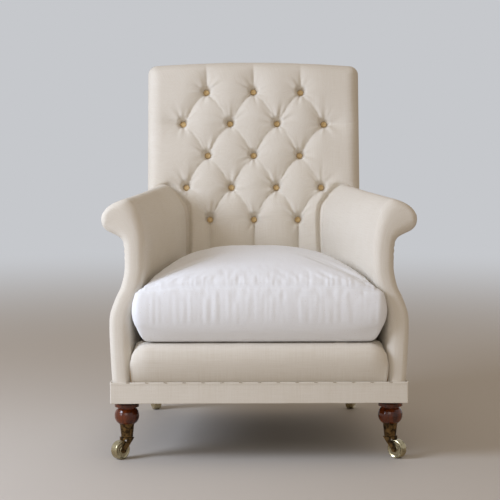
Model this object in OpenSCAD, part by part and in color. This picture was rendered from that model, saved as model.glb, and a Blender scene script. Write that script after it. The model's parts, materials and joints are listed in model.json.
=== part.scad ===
// Button-back easy chair on castors: beech frame, sprung seat and a loose feather cushion.
// Millimetres. +Z is up, the chair faces -Y, left and right are the viewer's own.
// The origin is on the floor under the middle of the chair.

/* [Overall] */
// Height from the floor to the crown of the back
overall_h = 967; // [937:1:997]
// Width across the two arm rolls at the front
arm_span = 758; // [744:2:774]
// Width across the base at its widest, at the front
base_w = 722; // [713:1:731]
// Width across the back
back_w = 582; // [572:2:592]
// Depth from the arm fronts to the back face of the seat frame
body_d = 662; // [640:2:690]
// Lean of the back from upright, in degrees
recline = 12.5; // [10:0.5:15]

/* [Castors and legs] */
// Diameter of a castor wheel
wheel_d = 46; // [42:1:50]
// Width of a castor wheel across its tread
wheel_w = 20; // [17:1:22]
// Distance of the wheel centre from the swivel axis
trail = 22; // [20:1:25]
// Diameter of the wheel axle
axle_d = 6; // [5:0.5:7]
// Diameter of the swivel spindle
spindle_d = 9; // [8:0.5:10]
// Height of the brass cups
cup_h = 34; // [30:1:38]
// Diameter of a front cup at its mouth
cup_top_d = 37; // [35:1:40]
// Diameter of a front cup at its foot
cup_foot_d = 29; // [27:1:31]
// Height of the wood between cup and frame
leg_h = 62; // [57:1:67]
// Largest diameter of the turned bulb
bulb_d = 60; // [56:1:64]
// Distance of the front legs behind the arm fronts
leg_y = 62; // [56:1:66]

/* [Frame] */
// Height of the seat rails
rail_h = 76; // [66:1:86]
// Thickness of the seat rails
rail_t = 34; // [32:1:36]
// Depth of the back posts, front to back
post_d = 45; // [40:1:50]
// Width of the back posts
post_w = 34; // [32:1:36]
// Thickness of the arm post boards
board_t = 32; // [26:1:36]
// Height of the seat above the floor where the back starts to lean
bend_z = 279; // [267:2:291]

/* [Arms] */
// Height of the arm rolls
arm_h = 634; // [622:1:646]
// Height of the narrow waist of the arm
waist_z = 487; // [472:1:502]
// Width across the outside of the waists
waist_w = 645; // [637:1:653]
// Thickness of the arm at its front
arm_t = 49; // [44:1:52]
// Thickness of the arm where it meets the back
arm_back_t = 101; // [95:1:107]

/* [Seat and back] */
// Height of the seat platform at its front edge
deck_z = 290; // [283:1:297]
// Fall of the platform towards the back, in degrees
deck_fall = 1.8; // [1:0.1:2.5]
// Thickness of the cushion at its edge
cushion_t = 142; // [130:1:150]
// Rise of the cushion's crown above its edge
cushion_crown = 50; // [40:1:58]
// How far the cushion bulges in front of the arms
cushion_over = 30; // [24:1:36]
// Thickness of the back stuffing at the top of a pillow
back_t = 78; // [74:1:84]
// Depth of a button below the pillows round it
tuft_depth = 34; // [30:1:36]
// Distance from button to button across the top rows
button_pitch = 130; // [124:1:134]
// Distance from one row of buttons to the next
row_pitch = 89; // [84:1:92]
// Diameter of a button
button_d = 15; // [13:0.5:16]
// Height of the calico band round the base
apron_h = 52; // [46:1:58]

/* [Hidden] */

// Clearances
// Gap between two pieces that only meet
gap = 0.3;
// Gap between a soft piece and what it lies on
soft_gap = 0.4;
// Radial clearance of a turning pin in its bore
run_gap = 0.05;
// Overrun of a cut past the face that it leaves
over = 2;

// Castors
crown_gap = 0.8;
crown_t = 4.6;
swivel_gap = 0.4;
cheek_t = 3.6;
cheek_gap = 0.6;
cheek_r = 7;
crown_r = 14;
wheel_round = 3;
hub_d = 15;
hub_relief = 1.2;
axle_head_d = 9;
axle_head_t = 1.4;
cup_wall = 1.8;
cup_floor = 7;
cup_bead_r = 1.2;
peg_d = 18;
peg_h = 34;
screw_head_d = 6;
screw_head_t = 1;
front_turn = 45;
rear_turn = 160;

// Legs
bulb_h = 37;
neck_d = 44;
neck_h = 2;
collar_d = 59;
collar_h = 7;
shoulder_d = 51;
rear_leg_w = 42;
rear_foot_w = 31;
rear_rake = 26;

// Frame
webbing_t = 1.2;
webbing_w = 50;
hessian_t = 1.5;
hessian_rise = 36;
arm_rail_h = 28;
arm_rail_w = 34;
tack_rail_h = 28;
tack_rail_t = 22;
top_rail_h = 60;
top_rail_t = 28;
block_len = 62;
rail_set = 17;

// Springs
spring_cols = 3;
spring_rows = 3;
spring_end_r = 44;
spring_waist_r = 27;
spring_wire = 4;
spring_turns = 4;
spring_steps = 8;
spring_sides = 4;

// Covers
cloth_t = 3;
panel_t = 4;
wrap_t = 8;
roll_bulge = 12;
front_round = 15;
apron_out = 3;
pad_round = 34;
corner_round = 26;
back_crown = 12;
panel_drop = 12;
hessian_gap = 3;
deck_side = 1;
tuck_down = 34;

// Heights that follow
left = -1;
right = 1;
crown_z = wheel_d + crown_gap;
cup_z = crown_z + crown_t + swivel_gap;
cup_mouth_z = cup_z + cup_h;
frame_z = cup_mouth_z + leg_h;
rail_z = frame_z + rail_h;
apron_z = frame_z - cloth_t + apron_h;
hessian_z = rail_z + hessian_rise;

// The back's own length along its lean, from the bend to the crown
back_len = pad_round + (overall_h - bend_z - pad_round
    - (back_t - pad_round) * sin(recline)) / cos(recline);
bend_y = body_d - post_d;
back_out = (post_d + gap + cloth_t) * cos(recline) + (back_len - panel_drop) * sin(recline);
rear_y = bend_y + back_out;
y_shift = (cushion_over - rear_y) / 2;

// Outline of an arm from its foot to its waist. Each row is the share of the flare of the base
// and the share of the height from frame to waist.
lower_shares = [[0.77, 0], [0.85, 0.143], [0.96, 0.373], [1, 0.53], [0.93, 0.63],
    [0.56, 0.743], [0.25, 0.814], [0.03, 0.917], [0, 1]];
// Outside of the arm from waist to tip: share of the roll's flare, share of the height.
outer_shares = [[0.03, 0.245], [0.125, 0.354], [0.32, 0.415], [0.535, 0.463],
    [0.785, 0.517], [0.946, 0.585], [1, 0.66], [0.985, 0.72]];
// Inside and top of the arm from waist to tip, the points that lie across from those.
inner_shares = [[0.005, 0.272], [0.04, 0.51], [0.114, 0.714], [0.22, 0.884],
    [0.41, 1], [0.66, 0.935], [0.84, 0.83], [0.945, 0.765]];
// The pair at the neck under the roll, and the one at the crown of the roll
neck_pair = len(lower_shares) + 2;
crown_pair = len(lower_shares) + 4;
// Share of the arm's thickness that the inside stuffing takes, from its foot to its neck
stuffing_shares = [0.30, 0.30, 0.30, 0.30, 0.30, 0.32, 0.36, 0.42, 0.45, 0.48, 0.6];

function lerp(a, b, t) = a + (b - a) * t;
function clamp(x, lo, hi) = max(lo, min(hi, x));

// Sections of an arm, at share t of its way from the front to the back

function waist_x(t) = lerp(waist_w, back_w, t) / 2;
function base_x(t) = lerp(base_w, back_w, t) / 2;
function tip_x(t) = lerp(arm_span, back_w, t) / 2;
function thick(t) = lerp(arm_t, arm_back_t, t);
function rail_x(t) = lerp(base_w / 2 - rail_set - rail_t / 2, (back_w - post_w) / 2 - wrap_t, t);

// Pairs of points, outside and inside, from the foot of the arm up to the tip of its roll
function arm_pairs(t, grow = 0) = concat(
    [for (s = lower_shares)
        let (x = lerp(waist_x(t), base_x(t), s[0]), z = lerp(frame_z, waist_z, s[1]))
        [[x + grow, z], [x - thick(t) - grow, z]]],
    [for (i = [0 : len(outer_shares) - 1])
        let (o = outer_shares[i], n = inner_shares[i], ix = waist_x(t) - thick(t))
        [[lerp(waist_x(t), tip_x(t), o[0]) + grow, lerp(waist_z, arm_h, o[1]) - grow],
         [lerp(ix, tip_x(t), n[0]) - grow * (1 - n[0]), lerp(waist_z, arm_h, n[1]) + grow * n[1]]]]);

// Share of the base's flare at height z
function flare(z) = lookup((z - frame_z) / (waist_z - frame_z),
    [for (s = lower_shares) [s[1], s[0]]]);
// Outside and inside faces of an arm at depth y and height z, up to its waist
function arm_outside(y, z) = let (t = clamp(along(y), 0, 1)) lerp(waist_x(t), base_x(t), flare(z));
function arm_inside(y, z) = arm_outside(y, z) - thick(clamp(along(y), 0, 1));

// Front face of the back posts at height z
function post_y(z) = bend_y + max(0, z - bend_z) * tan(recline);
// Plane where the arm stuffing ends, just in front of the back's hessian
function arm_end_y(z) = post_y(z) - hessian_gap / cos(recline);

function at_y(pairs, y) = [for (p = pairs) [for (q = p) [q[0], y, q[1]]]];
function at_end(pairs) = [for (p = pairs) [for (q = p) [q[0], arm_end_y(q[1]), q[1]]]];
function shrink(pairs, k) = [for (p = pairs) let (m = (p[0] + p[1]) / 2)
    [m + (p[0] - m) * k, m + (p[1] - m) * k]];
function first(pairs, from, to) = [for (i = [from : to]) pairs[i]];

// Closed solid through stations of paired points; each pair is [outside, inside]
module strip_loft(stations) {
    m = len(stations);
    n = len(stations[0]);
    points = [for (st = stations) for (p = st) for (q = p) q];
    function id(k, i, side) = (k * n + i) * 2 + side;
    quads = concat(
        [for (i = [0 : n - 2]) [id(0, i, 0), id(0, i, 1), id(0, i + 1, 1), id(0, i + 1, 0)]],
        [for (i = [0 : n - 2])
            [id(m - 1, i + 1, 0), id(m - 1, i + 1, 1), id(m - 1, i, 1), id(m - 1, i, 0)]],
        [for (k = [0 : m - 2]) for (i = [0 : n - 2])
            [id(k, i, 0), id(k, i + 1, 0), id(k + 1, i + 1, 0), id(k + 1, i, 0)]],
        [for (k = [0 : m - 2]) for (i = [0 : n - 2])
            [id(k + 1, i, 1), id(k + 1, i + 1, 1), id(k, i + 1, 1), id(k, i, 1)]],
        [for (k = [0 : m - 2]) [id(k, 0, 0), id(k + 1, 0, 0), id(k + 1, 0, 1), id(k, 0, 1)]],
        [for (k = [0 : m - 2])
            [id(k, n - 1, 1), id(k + 1, n - 1, 1), id(k + 1, n - 1, 0), id(k, n - 1, 0)]]);
    polyhedron(points, [for (q = quads) for (f = [[q[0], q[1], q[2]], [q[0], q[2], q[3]]]) f]);
}

// Closed solid through rings of points, each anticlockwise as seen from the last ring, with
// each end closed round its middle.
// Where turned(k, i) is true the face after ring k and point i is split the other way.
module ring_loft(rings, turned = function (k, i) false) {
    m = len(rings);
    n = len(rings[0]);
    function mid(r) = [for (k = [0 : 2]) [for (p = r) p[k]] * [for (p = r) 1 / n]];
    points = concat([for (r = rings) for (p = r) p], [mid(rings[0]), mid(rings[m - 1])]);
    polyhedron(points, concat(
        [for (k = [0 : m - 2]) for (i = [0 : n - 1])
            let (a = k * n + i, b = k * n + (i + 1) % n)
            for (f = turned(k, i) ? [[a, a + n, b], [b, a + n, b + n]]
                : [[a, b + n, b], [a, a + n, b + n]]) f],
        [for (i = [0 : n - 1]) [m * n, i, (i + 1) % n]],
        [for (i = [0 : n - 1]) [m * n + 1, (m - 1) * n + (i + 1) % n, (m - 1) * n + i]]));
}

module place() {
    translate([0, y_shift, 0]) children();
}

module side(s) {
    mirror([s < 0 ? 1 : 0, 0, 0]) children();
}

// The back leans about the bend of its posts. Inside this, x is across the back,
// y points to the rear and z runs up along the back.
module leaning() {
    translate([0, bend_y, bend_z]) rotate([-recline, 0, 0]) children();
}

// The same places in a side view: d behind the front of the posts and v up the lean,
// and the point where a face d behind the front of the posts bends
function leant(d, v) = [bend_y + d * cos(recline) + v * sin(recline),
    bend_z - d * sin(recline) + v * cos(recline)];
function bend_at(d) = [bend_y + d, bend_z - d * tan(recline / 2)];

// Plate or post that bends with the back, from d0 to d1 behind its front, between x0 and x1
module bent(x0, x1, d0, d1, z0, v1) {
    translate([x0, 0, 0]) rotate([90, 0, 90]) linear_extrude(x1 - x0)
        polygon([[bend_y + d0, z0], bend_at(d0), leant(d0, v1), leant(d1, v1), bend_at(d1),
            [bend_y + d1, z0]]);
}

// Frame

// Bar between two points in plan, from height z0 to z1, of thickness t across X
module plan_bar(a, b, t, z0, z1) {
    translate([0, 0, z0]) linear_extrude(z1 - z0)
        polygon([[a[0] - t / 2, a[1]], [a[0] + t / 2, a[1]],
            [b[0] + t / 2, b[1]], [b[0] - t / 2, b[1]]]);
}

front_y = front_round - wrap_t + gap;
board_y = front_y + board_t;
function along(y) = y / bend_y;

board_share = 0.64;
board_top = len(lower_shares) + 3;
front_rail_x = arm_inside(0, frame_z) + arm_t * (1 - board_share) / 2 - gap;

module front_rail_bar(grow = 0) {
    translate([-front_rail_x - grow, front_y - grow, frame_z - grow])
        cube([2 * (front_rail_x + grow), board_t + 2 * grow, rail_h + 2 * grow]);
}

module front_rail() {
    color("burlywood") front_rail_bar();
}

module back_rail() {
    x = rail_x(1) - post_w / 2 - gap;
    color("burlywood") translate([-x, body_d - rail_t, frame_z]) cube([2 * x, rail_t, rail_h]);
}

// Bar along the side of the seat, t thick, shifted outwards, with room round it
module side_bar(t, shift, z0, z1, grow = 0) {
    y0 = board_y + gap - grow;
    y1 = bend_y - gap + grow;
    plan_bar([rail_x(along(y0)) + shift, y0], [rail_x(along(y1)) + shift, y1],
        t + 2 * grow, z0 - grow, z1 + grow);
}

module side_rail(s) {
    color("burlywood") side(s) difference() {
        side_bar(rail_t, 0, frame_z, rail_z);
        translate([rail_x(along(leg_y)), leg_y, frame_z - over])
            cylinder(d = peg_d + 2 * gap, h = peg_h + over + gap, $fn = 48);
    }
}

// Glue blocks across the four corners of the seat frame
module corner_blocks() {
    y0 = board_y + gap;
    y1 = body_d - rail_t - gap;
    h = rail_h - webbing_t;
    x0 = rail_x(along(y0)) - rail_t / 2 - gap;
    x1 = rail_x(1) - post_w / 2 - gap;
    lean = (rail_x(0) - rail_x(1)) / bend_y;
    color("burlywood") for (s = [left, right]) side(s) translate([0, 0, frame_z + webbing_t]) {
        linear_extrude(h) polygon([[x0, y0], [x0 - block_len * lean, y0 + block_len],
            [x0 - block_len, y0]]);
        linear_extrude(h) polygon([[x1, y1], [x1 - block_len, y1], [x1, y1 - block_len]]);
    }
}

// Board that carries the arm's front, cut to the arm's own outline
module arm_post(s) {
    pairs = first(shrink(arm_pairs(0), board_share), 0, board_top);
    color("burlywood") side(s)
        strip_loft([at_y(pairs, front_y), at_y(pairs, board_y)]);
}

arm_rail_z = lerp(waist_z, arm_h, outer_shares[3][1]) + wrap_t;
function arm_rail_x(t) = lerp(waist_x(0) + arm_rail_w / 5, rail_x(1), t);

module arm_rail_bar(grow = 0) {
    y0 = board_y + gap - grow;
    plan_bar([arm_rail_x(along(y0)), y0], [arm_rail_x(1), post_y(arm_rail_z) - gap + grow],
        arm_rail_w + 2 * grow, arm_rail_z - grow, arm_rail_z + arm_rail_h + grow);
}

module arm_rail(s) {
    color("burlywood") side(s) arm_rail_bar();
}

// Low rail that the inside arm is tacked to, between arm post and back post
module arm_tack_rail(s) {
    color("burlywood") side(s) tack_bar();
}

module tack_bar(grow = 0) {
    side_bar(tack_rail_t, (rail_t - tack_rail_t) / 2, rail_z + gap, rail_z + gap + tack_rail_h,
        grow);
}

post_len = back_len - back_crown - wrap_t - gap;

// Back post with the bend at the seat, and a socket for the leg's peg
module back_post(s) {
    x = rail_x(1) - post_w / 2;
    color("burlywood") side(s) difference() {
        bent(x, x + post_w, 0, post_d, frame_z, post_len);
        translate([rail_x(1), bend_y + post_d / 2, frame_z - over])
            cylinder(d = peg_d + 2 * gap, h = peg_h + over + gap, $fn = 48);
    }
}

module back_top_rail() {
    x = rail_x(1) - post_w / 2 - gap;
    color("burlywood") leaning() translate([-x, 0, post_len - top_rail_h])
        cube([2 * x, top_rail_t, top_rail_h]);
}

module back_tack_rail() {
    x = rail_x(1) - post_w / 2 - gap;
    color("burlywood") leaning() translate([-x, 0, tack_rail_h])
        cube([2 * x, tack_rail_t, tack_rail_h]);
}

// Suspension

web_z = frame_z;

// Four strips run front to back and four across, tacked under the rails
module seat_webbing() {
    x = rail_x(1) - post_w / 2;
    y0 = front_y + board_t / 2;
    y1 = body_d - rail_t / 2;
    pitch_x = 2 * x / 4;
    pitch_y = (bend_y - board_y - 2 * peg_d) / 4;
    color("tan") {
        for (i = [0 : 3]) translate([-x + pitch_x * (i + 1 / 2) - webbing_w / 2, y0,
                web_z - webbing_t - gap]) cube([webbing_w, y1 - y0, webbing_t]);
        for (i = [0 : 3]) {
            y = board_y + 2 * peg_d + pitch_y * (i + 1 / 2);
            half = rail_x(along(y + webbing_w / 2));
            translate([-half, y - webbing_w / 2, web_z - 2 * webbing_t - 2 * gap])
                cube([2 * half, webbing_w, webbing_t]);
        }
    }
}

// One waisted coil spring, as an unbroken wire from its foot to its head
module coil_spring(h) {
    n = spring_turns * spring_steps;
    r = spring_wire / 2;
    lift = r * sin(45);
    rings = [for (k = [0 : n]) let (s = k / n, a = 360 * k / spring_steps,
            rad = lerp(spring_waist_r, spring_end_r, pow(abs(2 * s - 1), 1.4)),
            z = lift + (h - 2 * lift) * s)
        [for (j = [0 : spring_sides - 1]) let (b = 45 - 360 * j / spring_sides)
            [(rad + r * cos(b)) * cos(a), (rad + r * cos(b)) * sin(a), z + r * sin(b)]]];
    ring_loft(rings);
}

spring_z = web_z - gap;

module seat_springs() {
    h = hessian_z - gap - spring_z - gap;
    pitch_x = 2 * (rail_x(1) - post_w / 2) / spring_cols;
    y0 = board_y + block_len / 2;
    pitch_y = (body_d - rail_t - y0 - block_len / 2) / spring_rows;
    color("dimgray") for (i = [0 : spring_cols - 1]) for (j = [0 : spring_rows - 1])
        translate([pitch_x * (i - (spring_cols - 1) / 2), y0 + pitch_y * (j + 1 / 2), spring_z])
            coil_spring(h);
}

// Hessian drawn over the springs, its edges tacked on top of the rails
module hessian_form(grow = 0, top = 0, low = 0) {
    y0 = board_y - rail_t / 3 - grow;
    y1 = bend_y - gap - hessian_t + grow;
    x0 = rail_x(along(y0)) - rail_t / 3 + grow;
    x1 = rail_x(along(y1)) - rail_t / 3 + grow;
    translate([0, 0, rail_z + gap - low])
        linear_extrude(hessian_z - rail_z - gap + hessian_t + top + low)
            polygon([[-x0, y0], [x0, y0], [x1, y1], [-x1, y1]]);
}

module seat_hessian() {
    color("peru") difference() {
        hessian_form();
        hessian_form(-hessian_t, -hessian_t, over);
    }
}

// Stuffed platform over the hessian, with its roll over the front rail

function deck_top(y) = deck_z - max(0, y) * tan(deck_fall);

// Front of the platform from its foot up over the roll: share of the bulge, share of the height
roll_shares = [[0.15, 0], [0.75, 0.16], [1, 0.42], [0.95, 0.7], [0.6, 0.9], [-0.3, 1]];
roll_corner = 22;
deck_foot = apron_z + gap;

// One section of the platform from front to back; s is its side, a its place round the corner
function deck_ring(s, a) =
    let (y1 = bend_y - hessian_gap, r = roll_corner,
        profile = concat([for (p = roll_shares) [-roll_bulge * p[0] * lerp(0.4, 1, sin(a)),
                lerp(deck_foot, deck_z, p[1]), p[1]]],
            [for (y = [y1 * 0.3, y1 * 0.7, y1]) [y, deck_top(y), 1]],
            [[y1, deck_foot, 0], [y1 / 2, deck_foot, 0]]))
    [for (p = profile) [s * (arm_inside(p[0], p[1]) - deck_side - r * (1 - cos(a))), p[0],
        p[1] - r * (1 - sin(a)) * max(0, p[2] * 2 - 1)]];

module seat_deck() {
    color("linen") difference() {
        ring_loft(concat([for (a = [0 : 30 : 90]) deck_ring(right, a)],
            [for (a = [90 : -30 : 0]) deck_ring(left, a)]));
        hessian_form(soft_gap, soft_gap, rail_h);
        translate([-base_w, front_y - gap, frame_z]) cube([2 * base_w, body_d, rail_h + 2 * gap]);
    }
}

// Suspension of the back: two layers of webbing and the hessian between the posts

module arm_rail_ends() {
    for (s = [left, right]) side(s) arm_rail_bar(gap);
}

module back_webbing() {
    x = rail_x(1) - post_w / 2 - gap;
    z0 = tack_rail_h + gap;
    y0 = -gap - webbing_t;
    cols = 4;
    pitch_x = 2 * x / cols;
    color("tan") leaning() for (i = [0 : cols - 1])
        translate([-x + pitch_x * (i + 1 / 2) - webbing_w / 2, y0, z0])
            cube([webbing_w, webbing_t, post_len - z0 - gap]);
}

module back_hessian() {
    x = rail_x(1) - post_w / 2;
    z0 = tack_rail_h + gap;
    color("peru") leaning() translate([-x, -2 * gap - webbing_t - hessian_t / 2, z0])
        cube([2 * x, hessian_t / 2, post_len - z0 - gap]);
}

// Buttoned back

row_count = 5;
outer_button = 1.5;
button_top = 84;
button_h = 6;
lower_pinch_share = 0.075;
fold_floor_share = 0.55;
top_row = back_len - button_top;

// Steps of the surface between one button and the next, across and up
steps_across = 8;
steps_up = 4;

// Place across the back, in spaces between buttons, and up it, in rows from the lowest
function pitch_at(v) = button_pitch * (1 - lower_pinch_share
    * clamp((top_row - v) / (row_pitch * 4) * 1.25 - 0.25, 0, 1));
function row_at(v) = (v - top_row) / row_pitch + row_count - 1;
function fold_dist(p) = abs(p - round(p)) * 2;
// Rise of the pillows between folds: 0 at a fold, 1 midway between two
function pillow(d) = pow(1 - pow(1 - d, 2), 0.75);
function puff(dp, dq) = let (p = pillow(dp), q = pillow(dq))
    (1 - fold_floor_share) * sqrt(p * q) + fold_floor_share * min(1, (p + q) * 0.75);

// Each button sits in a funnel just wide enough for it, so the middle of the funnel is deeper
button_reach = button_d / 2 + soft_gap - button_h / 7;
column_step = button_pitch * (1 - lower_pinch_share) / steps_across;
button_well = button_reach * tuft_depth * puff(2 / steps_across, 2 / steps_across)
    / (column_step - button_reach);

// Depth of the surface below the pillows at a place across and up the back
function tuft(u, v) =
    let (a = clamp(u / pitch_at(v), -outer_button, outer_button),
        b = clamp(row_at(v), 0, row_count - 1),
        dp = fold_dist(a + b / 2), dq = fold_dist(a - b / 2))
    tuft_depth * (1 - puff(dp, dq))
        + button_well * max(0, 1 - (dp + dq) * steps_across / 4);

// How far the front of the stuffing stands in front of the posts
function edge_drop(u, v, w) =
    let (su = max(0, (abs(u) - (w - pad_round)) / pad_round),
        sv = max(0, (v - (back_len - pad_round)) / pad_round))
    pad_round * (1 - sqrt(max(0, 1 - min(1, su * su + sv * sv))));
function back_front(u, v, w) =
    let (fade = clamp((w - abs(u)) / pad_round, 0, 1) * clamp((back_len - v) / pad_round, 0, 1))
    back_t - edge_drop(u, v, w) - tuft(u, v) * (0.12 + 0.88 * fade);

function back_half_w(v) = let (s = max(0, (v - (back_len - corner_round)) / corner_round))
    back_w / 2 - corner_round * (1 - sqrt(max(0, 1 - s * s)));

side_cols = 3;
edge_angles = [90, 55, 25];

// Columns across the back: round edges, plain sides, then steps that follow the buttons
function col_x(v, w) =
    let (flat = w - pad_round, inner = outer_button * pitch_at(v),
        half = concat([for (a = edge_angles) flat + pad_round * sin(a)],
            [for (i = [side_cols : -1 : 1]) lerp(inner, flat, i / side_cols)]),
        n = outer_button * steps_across)
    concat(-half, [for (i = [-n : n]) i / steps_across * pitch_at(v)],
        [for (i = [len(half) - 1 : -1 : 0]) half[i]]);
first_col = len(edge_angles) + side_cols;

low_rows = [-tuck_down, 0, 0.4 * row_v(0), 0.8 * row_v(0)];
back_rows = concat(low_rows,
    [for (i = [0 : (row_count - 1) * steps_up]) row_v(i / steps_up)],
    [for (t = [0.4, 0.8]) lerp(top_row, back_len - pad_round, t)],
    [for (a = [0, 30, 60, 90]) back_len - pad_round + pad_round * sin(a)]);
function row_v(b) = top_row + (b - row_count + 1) * row_pitch;

// True where the nearer fold runs against the usual split of the face
function fold_turned(k, i) =
    let (a = (i - first_col + 1 / 2) / steps_across - outer_button,
        b = (k - len(low_rows) + 1 / 2) / steps_up)
    fold_dist(a + b / 2) < fold_dist(a - b / 2);

// Fall of the top edge from the middle of the back to its corners
function crown_drop(u, v) = back_crown * pow(2 * u / back_w, 2) * pow(max(0, v) / back_len, 4);

module tufted_block() {
    rings = [for (v = back_rows) let (w = back_half_w(v), cols = col_x(v, w))
        concat([for (u = cols)
                [u, -back_front(u, v, w), v - crown_drop(u, v)]],
            [for (c = [w, -w]) [c, post_d, v - crown_drop(c, v)]])];
    ring_loft(rings, function (k, i) fold_turned(k, i));
}

// Everything of an arm that the back's stuffing has to be cut round
module arm_room(s) {
    near = arm_pairs(along(bend_y - back_t / cos(recline)), soft_gap);
    far = arm_pairs(1, soft_gap);
    n = len(far) - 1;
    x = waist_x(1) - arm_back_t - soft_gap;
    side(s) {
        intersection() {
            translate([0, rear_y, 0]) rotate([90, 0, 0]) linear_extrude(rear_y - bend_y + 2 * back_t)
                polygon(concat([for (p = near) p[0]], [for (i = [n : -1 : crown_pair]) near[i][1]],
                    [for (i = [crown_pair : -1 : 0]) far[i][1]]));
            leaning() translate([0, -3 * back_t, -bend_z])
                cube([back_w, 3 * back_t - hessian_gap, overall_h]);
        }
        translate([x, bend_y - 2 * hessian_gap, 0])
            cube([back_w / 2 + wrap_t - x, body_d, far[neck_pair][0][1] + soft_gap + gap]);
    }
}

module back_pad() {
    inner_x = back_w / 2 - wrap_t + gap;
    color("linen") difference() {
        leaning() tufted_block();
        leaning() translate([-inner_x, -hessian_gap, -tuck_down - over])
            cube([2 * inner_x, post_d + hessian_gap + over,
                back_len - back_crown - wrap_t + tuck_down + over]);
        arm_room(left);
        arm_room(right);
        arm_rail_ends();
        translate([-back_w, 0, 0]) rotate([90, 0, 90]) linear_extrude(2 * back_w)
            polygon([[0, 0], [body_d, 0], [body_d, deck_top(body_d) + soft_gap],
                [0, deck_z + soft_gap]]);
    }
}

// Places of the buttons as [across, up] along the back
button_spots = [for (r = [0 : row_count - 1])
    let (v = top_row - row_pitch * (row_count - 1 - r), half = r % 2 == 0 ? 1 : outer_button)
    for (a = [-half : 1 : half]) [a * pitch_at(v), v]];

module button_at(spot) {
    translate([spot[0], tuft_depth - back_t, spot[1] - crown_drop(spot[0], spot[1])])
        rotate([90, 0, 0]) children();
}

module back_buttons() {
    r = button_d / 2;
    color("tan") leaning() for (spot = button_spots) button_at(spot)
        translate([0, 0, gap]) rotate_extrude($fn = 20)
            polygon([[0, 0], [r - button_h / 4, 0], [r, button_h / 3],
                [r - button_h / 4, button_h * 3 / 4], [0, button_h]]);
}

// Arms

// Stuffed inside of an arm with the roll over its rail
module arm_pad(s) {
    function cut(pairs) = [for (i = [1 : len(pairs) - 1]) let (p = pairs[i])
        i < neck_pair ? [lerp(p[1], p[0], stuffing_shares[i]), p[1]] : p];
    y0 = board_y + wrap_t + gap;
    color("linen") side(s) difference() {
        strip_loft([at_y(cut(arm_pairs(along(y0))), y0),
            at_y(cut(arm_pairs(0.5)), lerp(0, bend_y, 0.5)), at_end(cut(arm_pairs(1)))]);
        frame_room();
    }
}

// Room inside an arm for the rails and for the seat's hessian
module frame_room() {
    arm_rail_bar(gap);
    side_bar(rail_t, 0, frame_z, rail_z, gap);
    tack_bar(gap);
    hessian_form(soft_gap, soft_gap, rail_h + over);
    front_rail_bar(gap);
}

front_shares = [[0, 0.58], [0.2, 0.82], [0.55, 0.95], [1, 1]];

// Stuffed front of an arm, drawn over the post board
module arm_front(s) {
    hole = shrink(arm_pairs(0), board_share + 0.03);
    y1 = board_y + wrap_t;
    color("linen") side(s) difference() {
        strip_loft(concat([for (f = front_shares) let (y = f[0] * front_round)
            at_y(shrink(arm_pairs(along(y)), f[1]), y)], [at_y(arm_pairs(along(y1)), y1)]));
        strip_loft([at_y(hole_ends(hole), front_y - gap), at_y(hole_ends(hole), y1 + over)]);
        frame_room();
    }
}

// The post's hole with its foot run on downwards
function hole_ends(pairs) = concat(
    [[for (q = pairs[0]) [q[0], q[1] - over]]], first(pairs, 0, board_top + 1));

// Cloth panel on the outside of an arm, under the roll
module outer_arm(s) {
    function skin(pairs) = [for (i = [0 : neck_pair])
        let (p = pairs[i][0] - [0, i == neck_pair ? gap : 0]) [p, p - [panel_t - gap, 0]]];
    y0 = board_y + wrap_t + gap;
    function rear(pairs) = [for (p = pairs) [for (q = p) [q[0], post_y(q[1]) + post_d, q[1]]]];
    color("linen") side(s) strip_loft([at_y(skin(arm_pairs(along(y0))), y0),
        at_y(skin(arm_pairs(1)), bend_y), rear(skin(arm_pairs(1)))]);
}

// Cloth over the outside of the back
module outer_back() {
    x = back_w / 2;
    color("linen")
        bent(-x, x, post_d + gap, post_d + gap + cloth_t, apron_z + gap, back_len - panel_drop);
}

// Calico band round the foot of the chair
apron_foot = frame_z - cloth_t;

function apron_x(y) = arm_outside(y, apron_z) + 2 * gap;

module front_apron() {
    x = apron_x(0) + apron_out;
    color("antiquewhite") translate([-x, -apron_out - gap, apron_foot])
        cube([2 * x, apron_out, apron_h]);
}

module side_apron(s) {
    y1 = body_d + gap + cloth_t;
    x0 = apron_x(0);
    x1 = apron_x(bend_y);
    color("antiquewhite") side(s) translate([0, 0, apron_foot]) linear_extrude(apron_h)
        polygon([[x0, 0], [x1, bend_y], [x1, y1], [x1 + apron_out, y1],
            [x1 + apron_out, bend_y], [x0 + apron_out, 0]]);
}

module back_apron() {
    x = apron_x(bend_y) + apron_out;
    color("antiquewhite") translate([-x, body_d + 2 * gap + cloth_t, apron_foot])
        cube([2 * x, apron_out, apron_h]);
}

// Thin cloth that closes the underside, cut round the legs
module bottom_cloth() {
    z = web_z - 3 * webbing_t - 3 * gap;
    x0 = rail_x(0) + rail_t / 4;
    x1 = rail_x(1) + post_w / 4;
    color("black") difference() {
        translate([0, 0, z]) linear_extrude(webbing_t)
            polygon([[-x0, front_y], [x0, front_y], [x1, body_d], [-x1, body_d]]);
        for (s = [left, right]) side(s) {
            translate([rail_x(along(leg_y)), leg_y, z - over])
                cylinder(d = bulb_d, h = webbing_t + 2 * over, $fn = 48);
            translate([rail_x(1) - rear_leg_w, bend_y - rear_leg_w / 4, z - over])
                cube([2 * rear_leg_w, 2 * rear_leg_w, webbing_t + 2 * over]);
        }
    }
}

// Legs and cups

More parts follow.
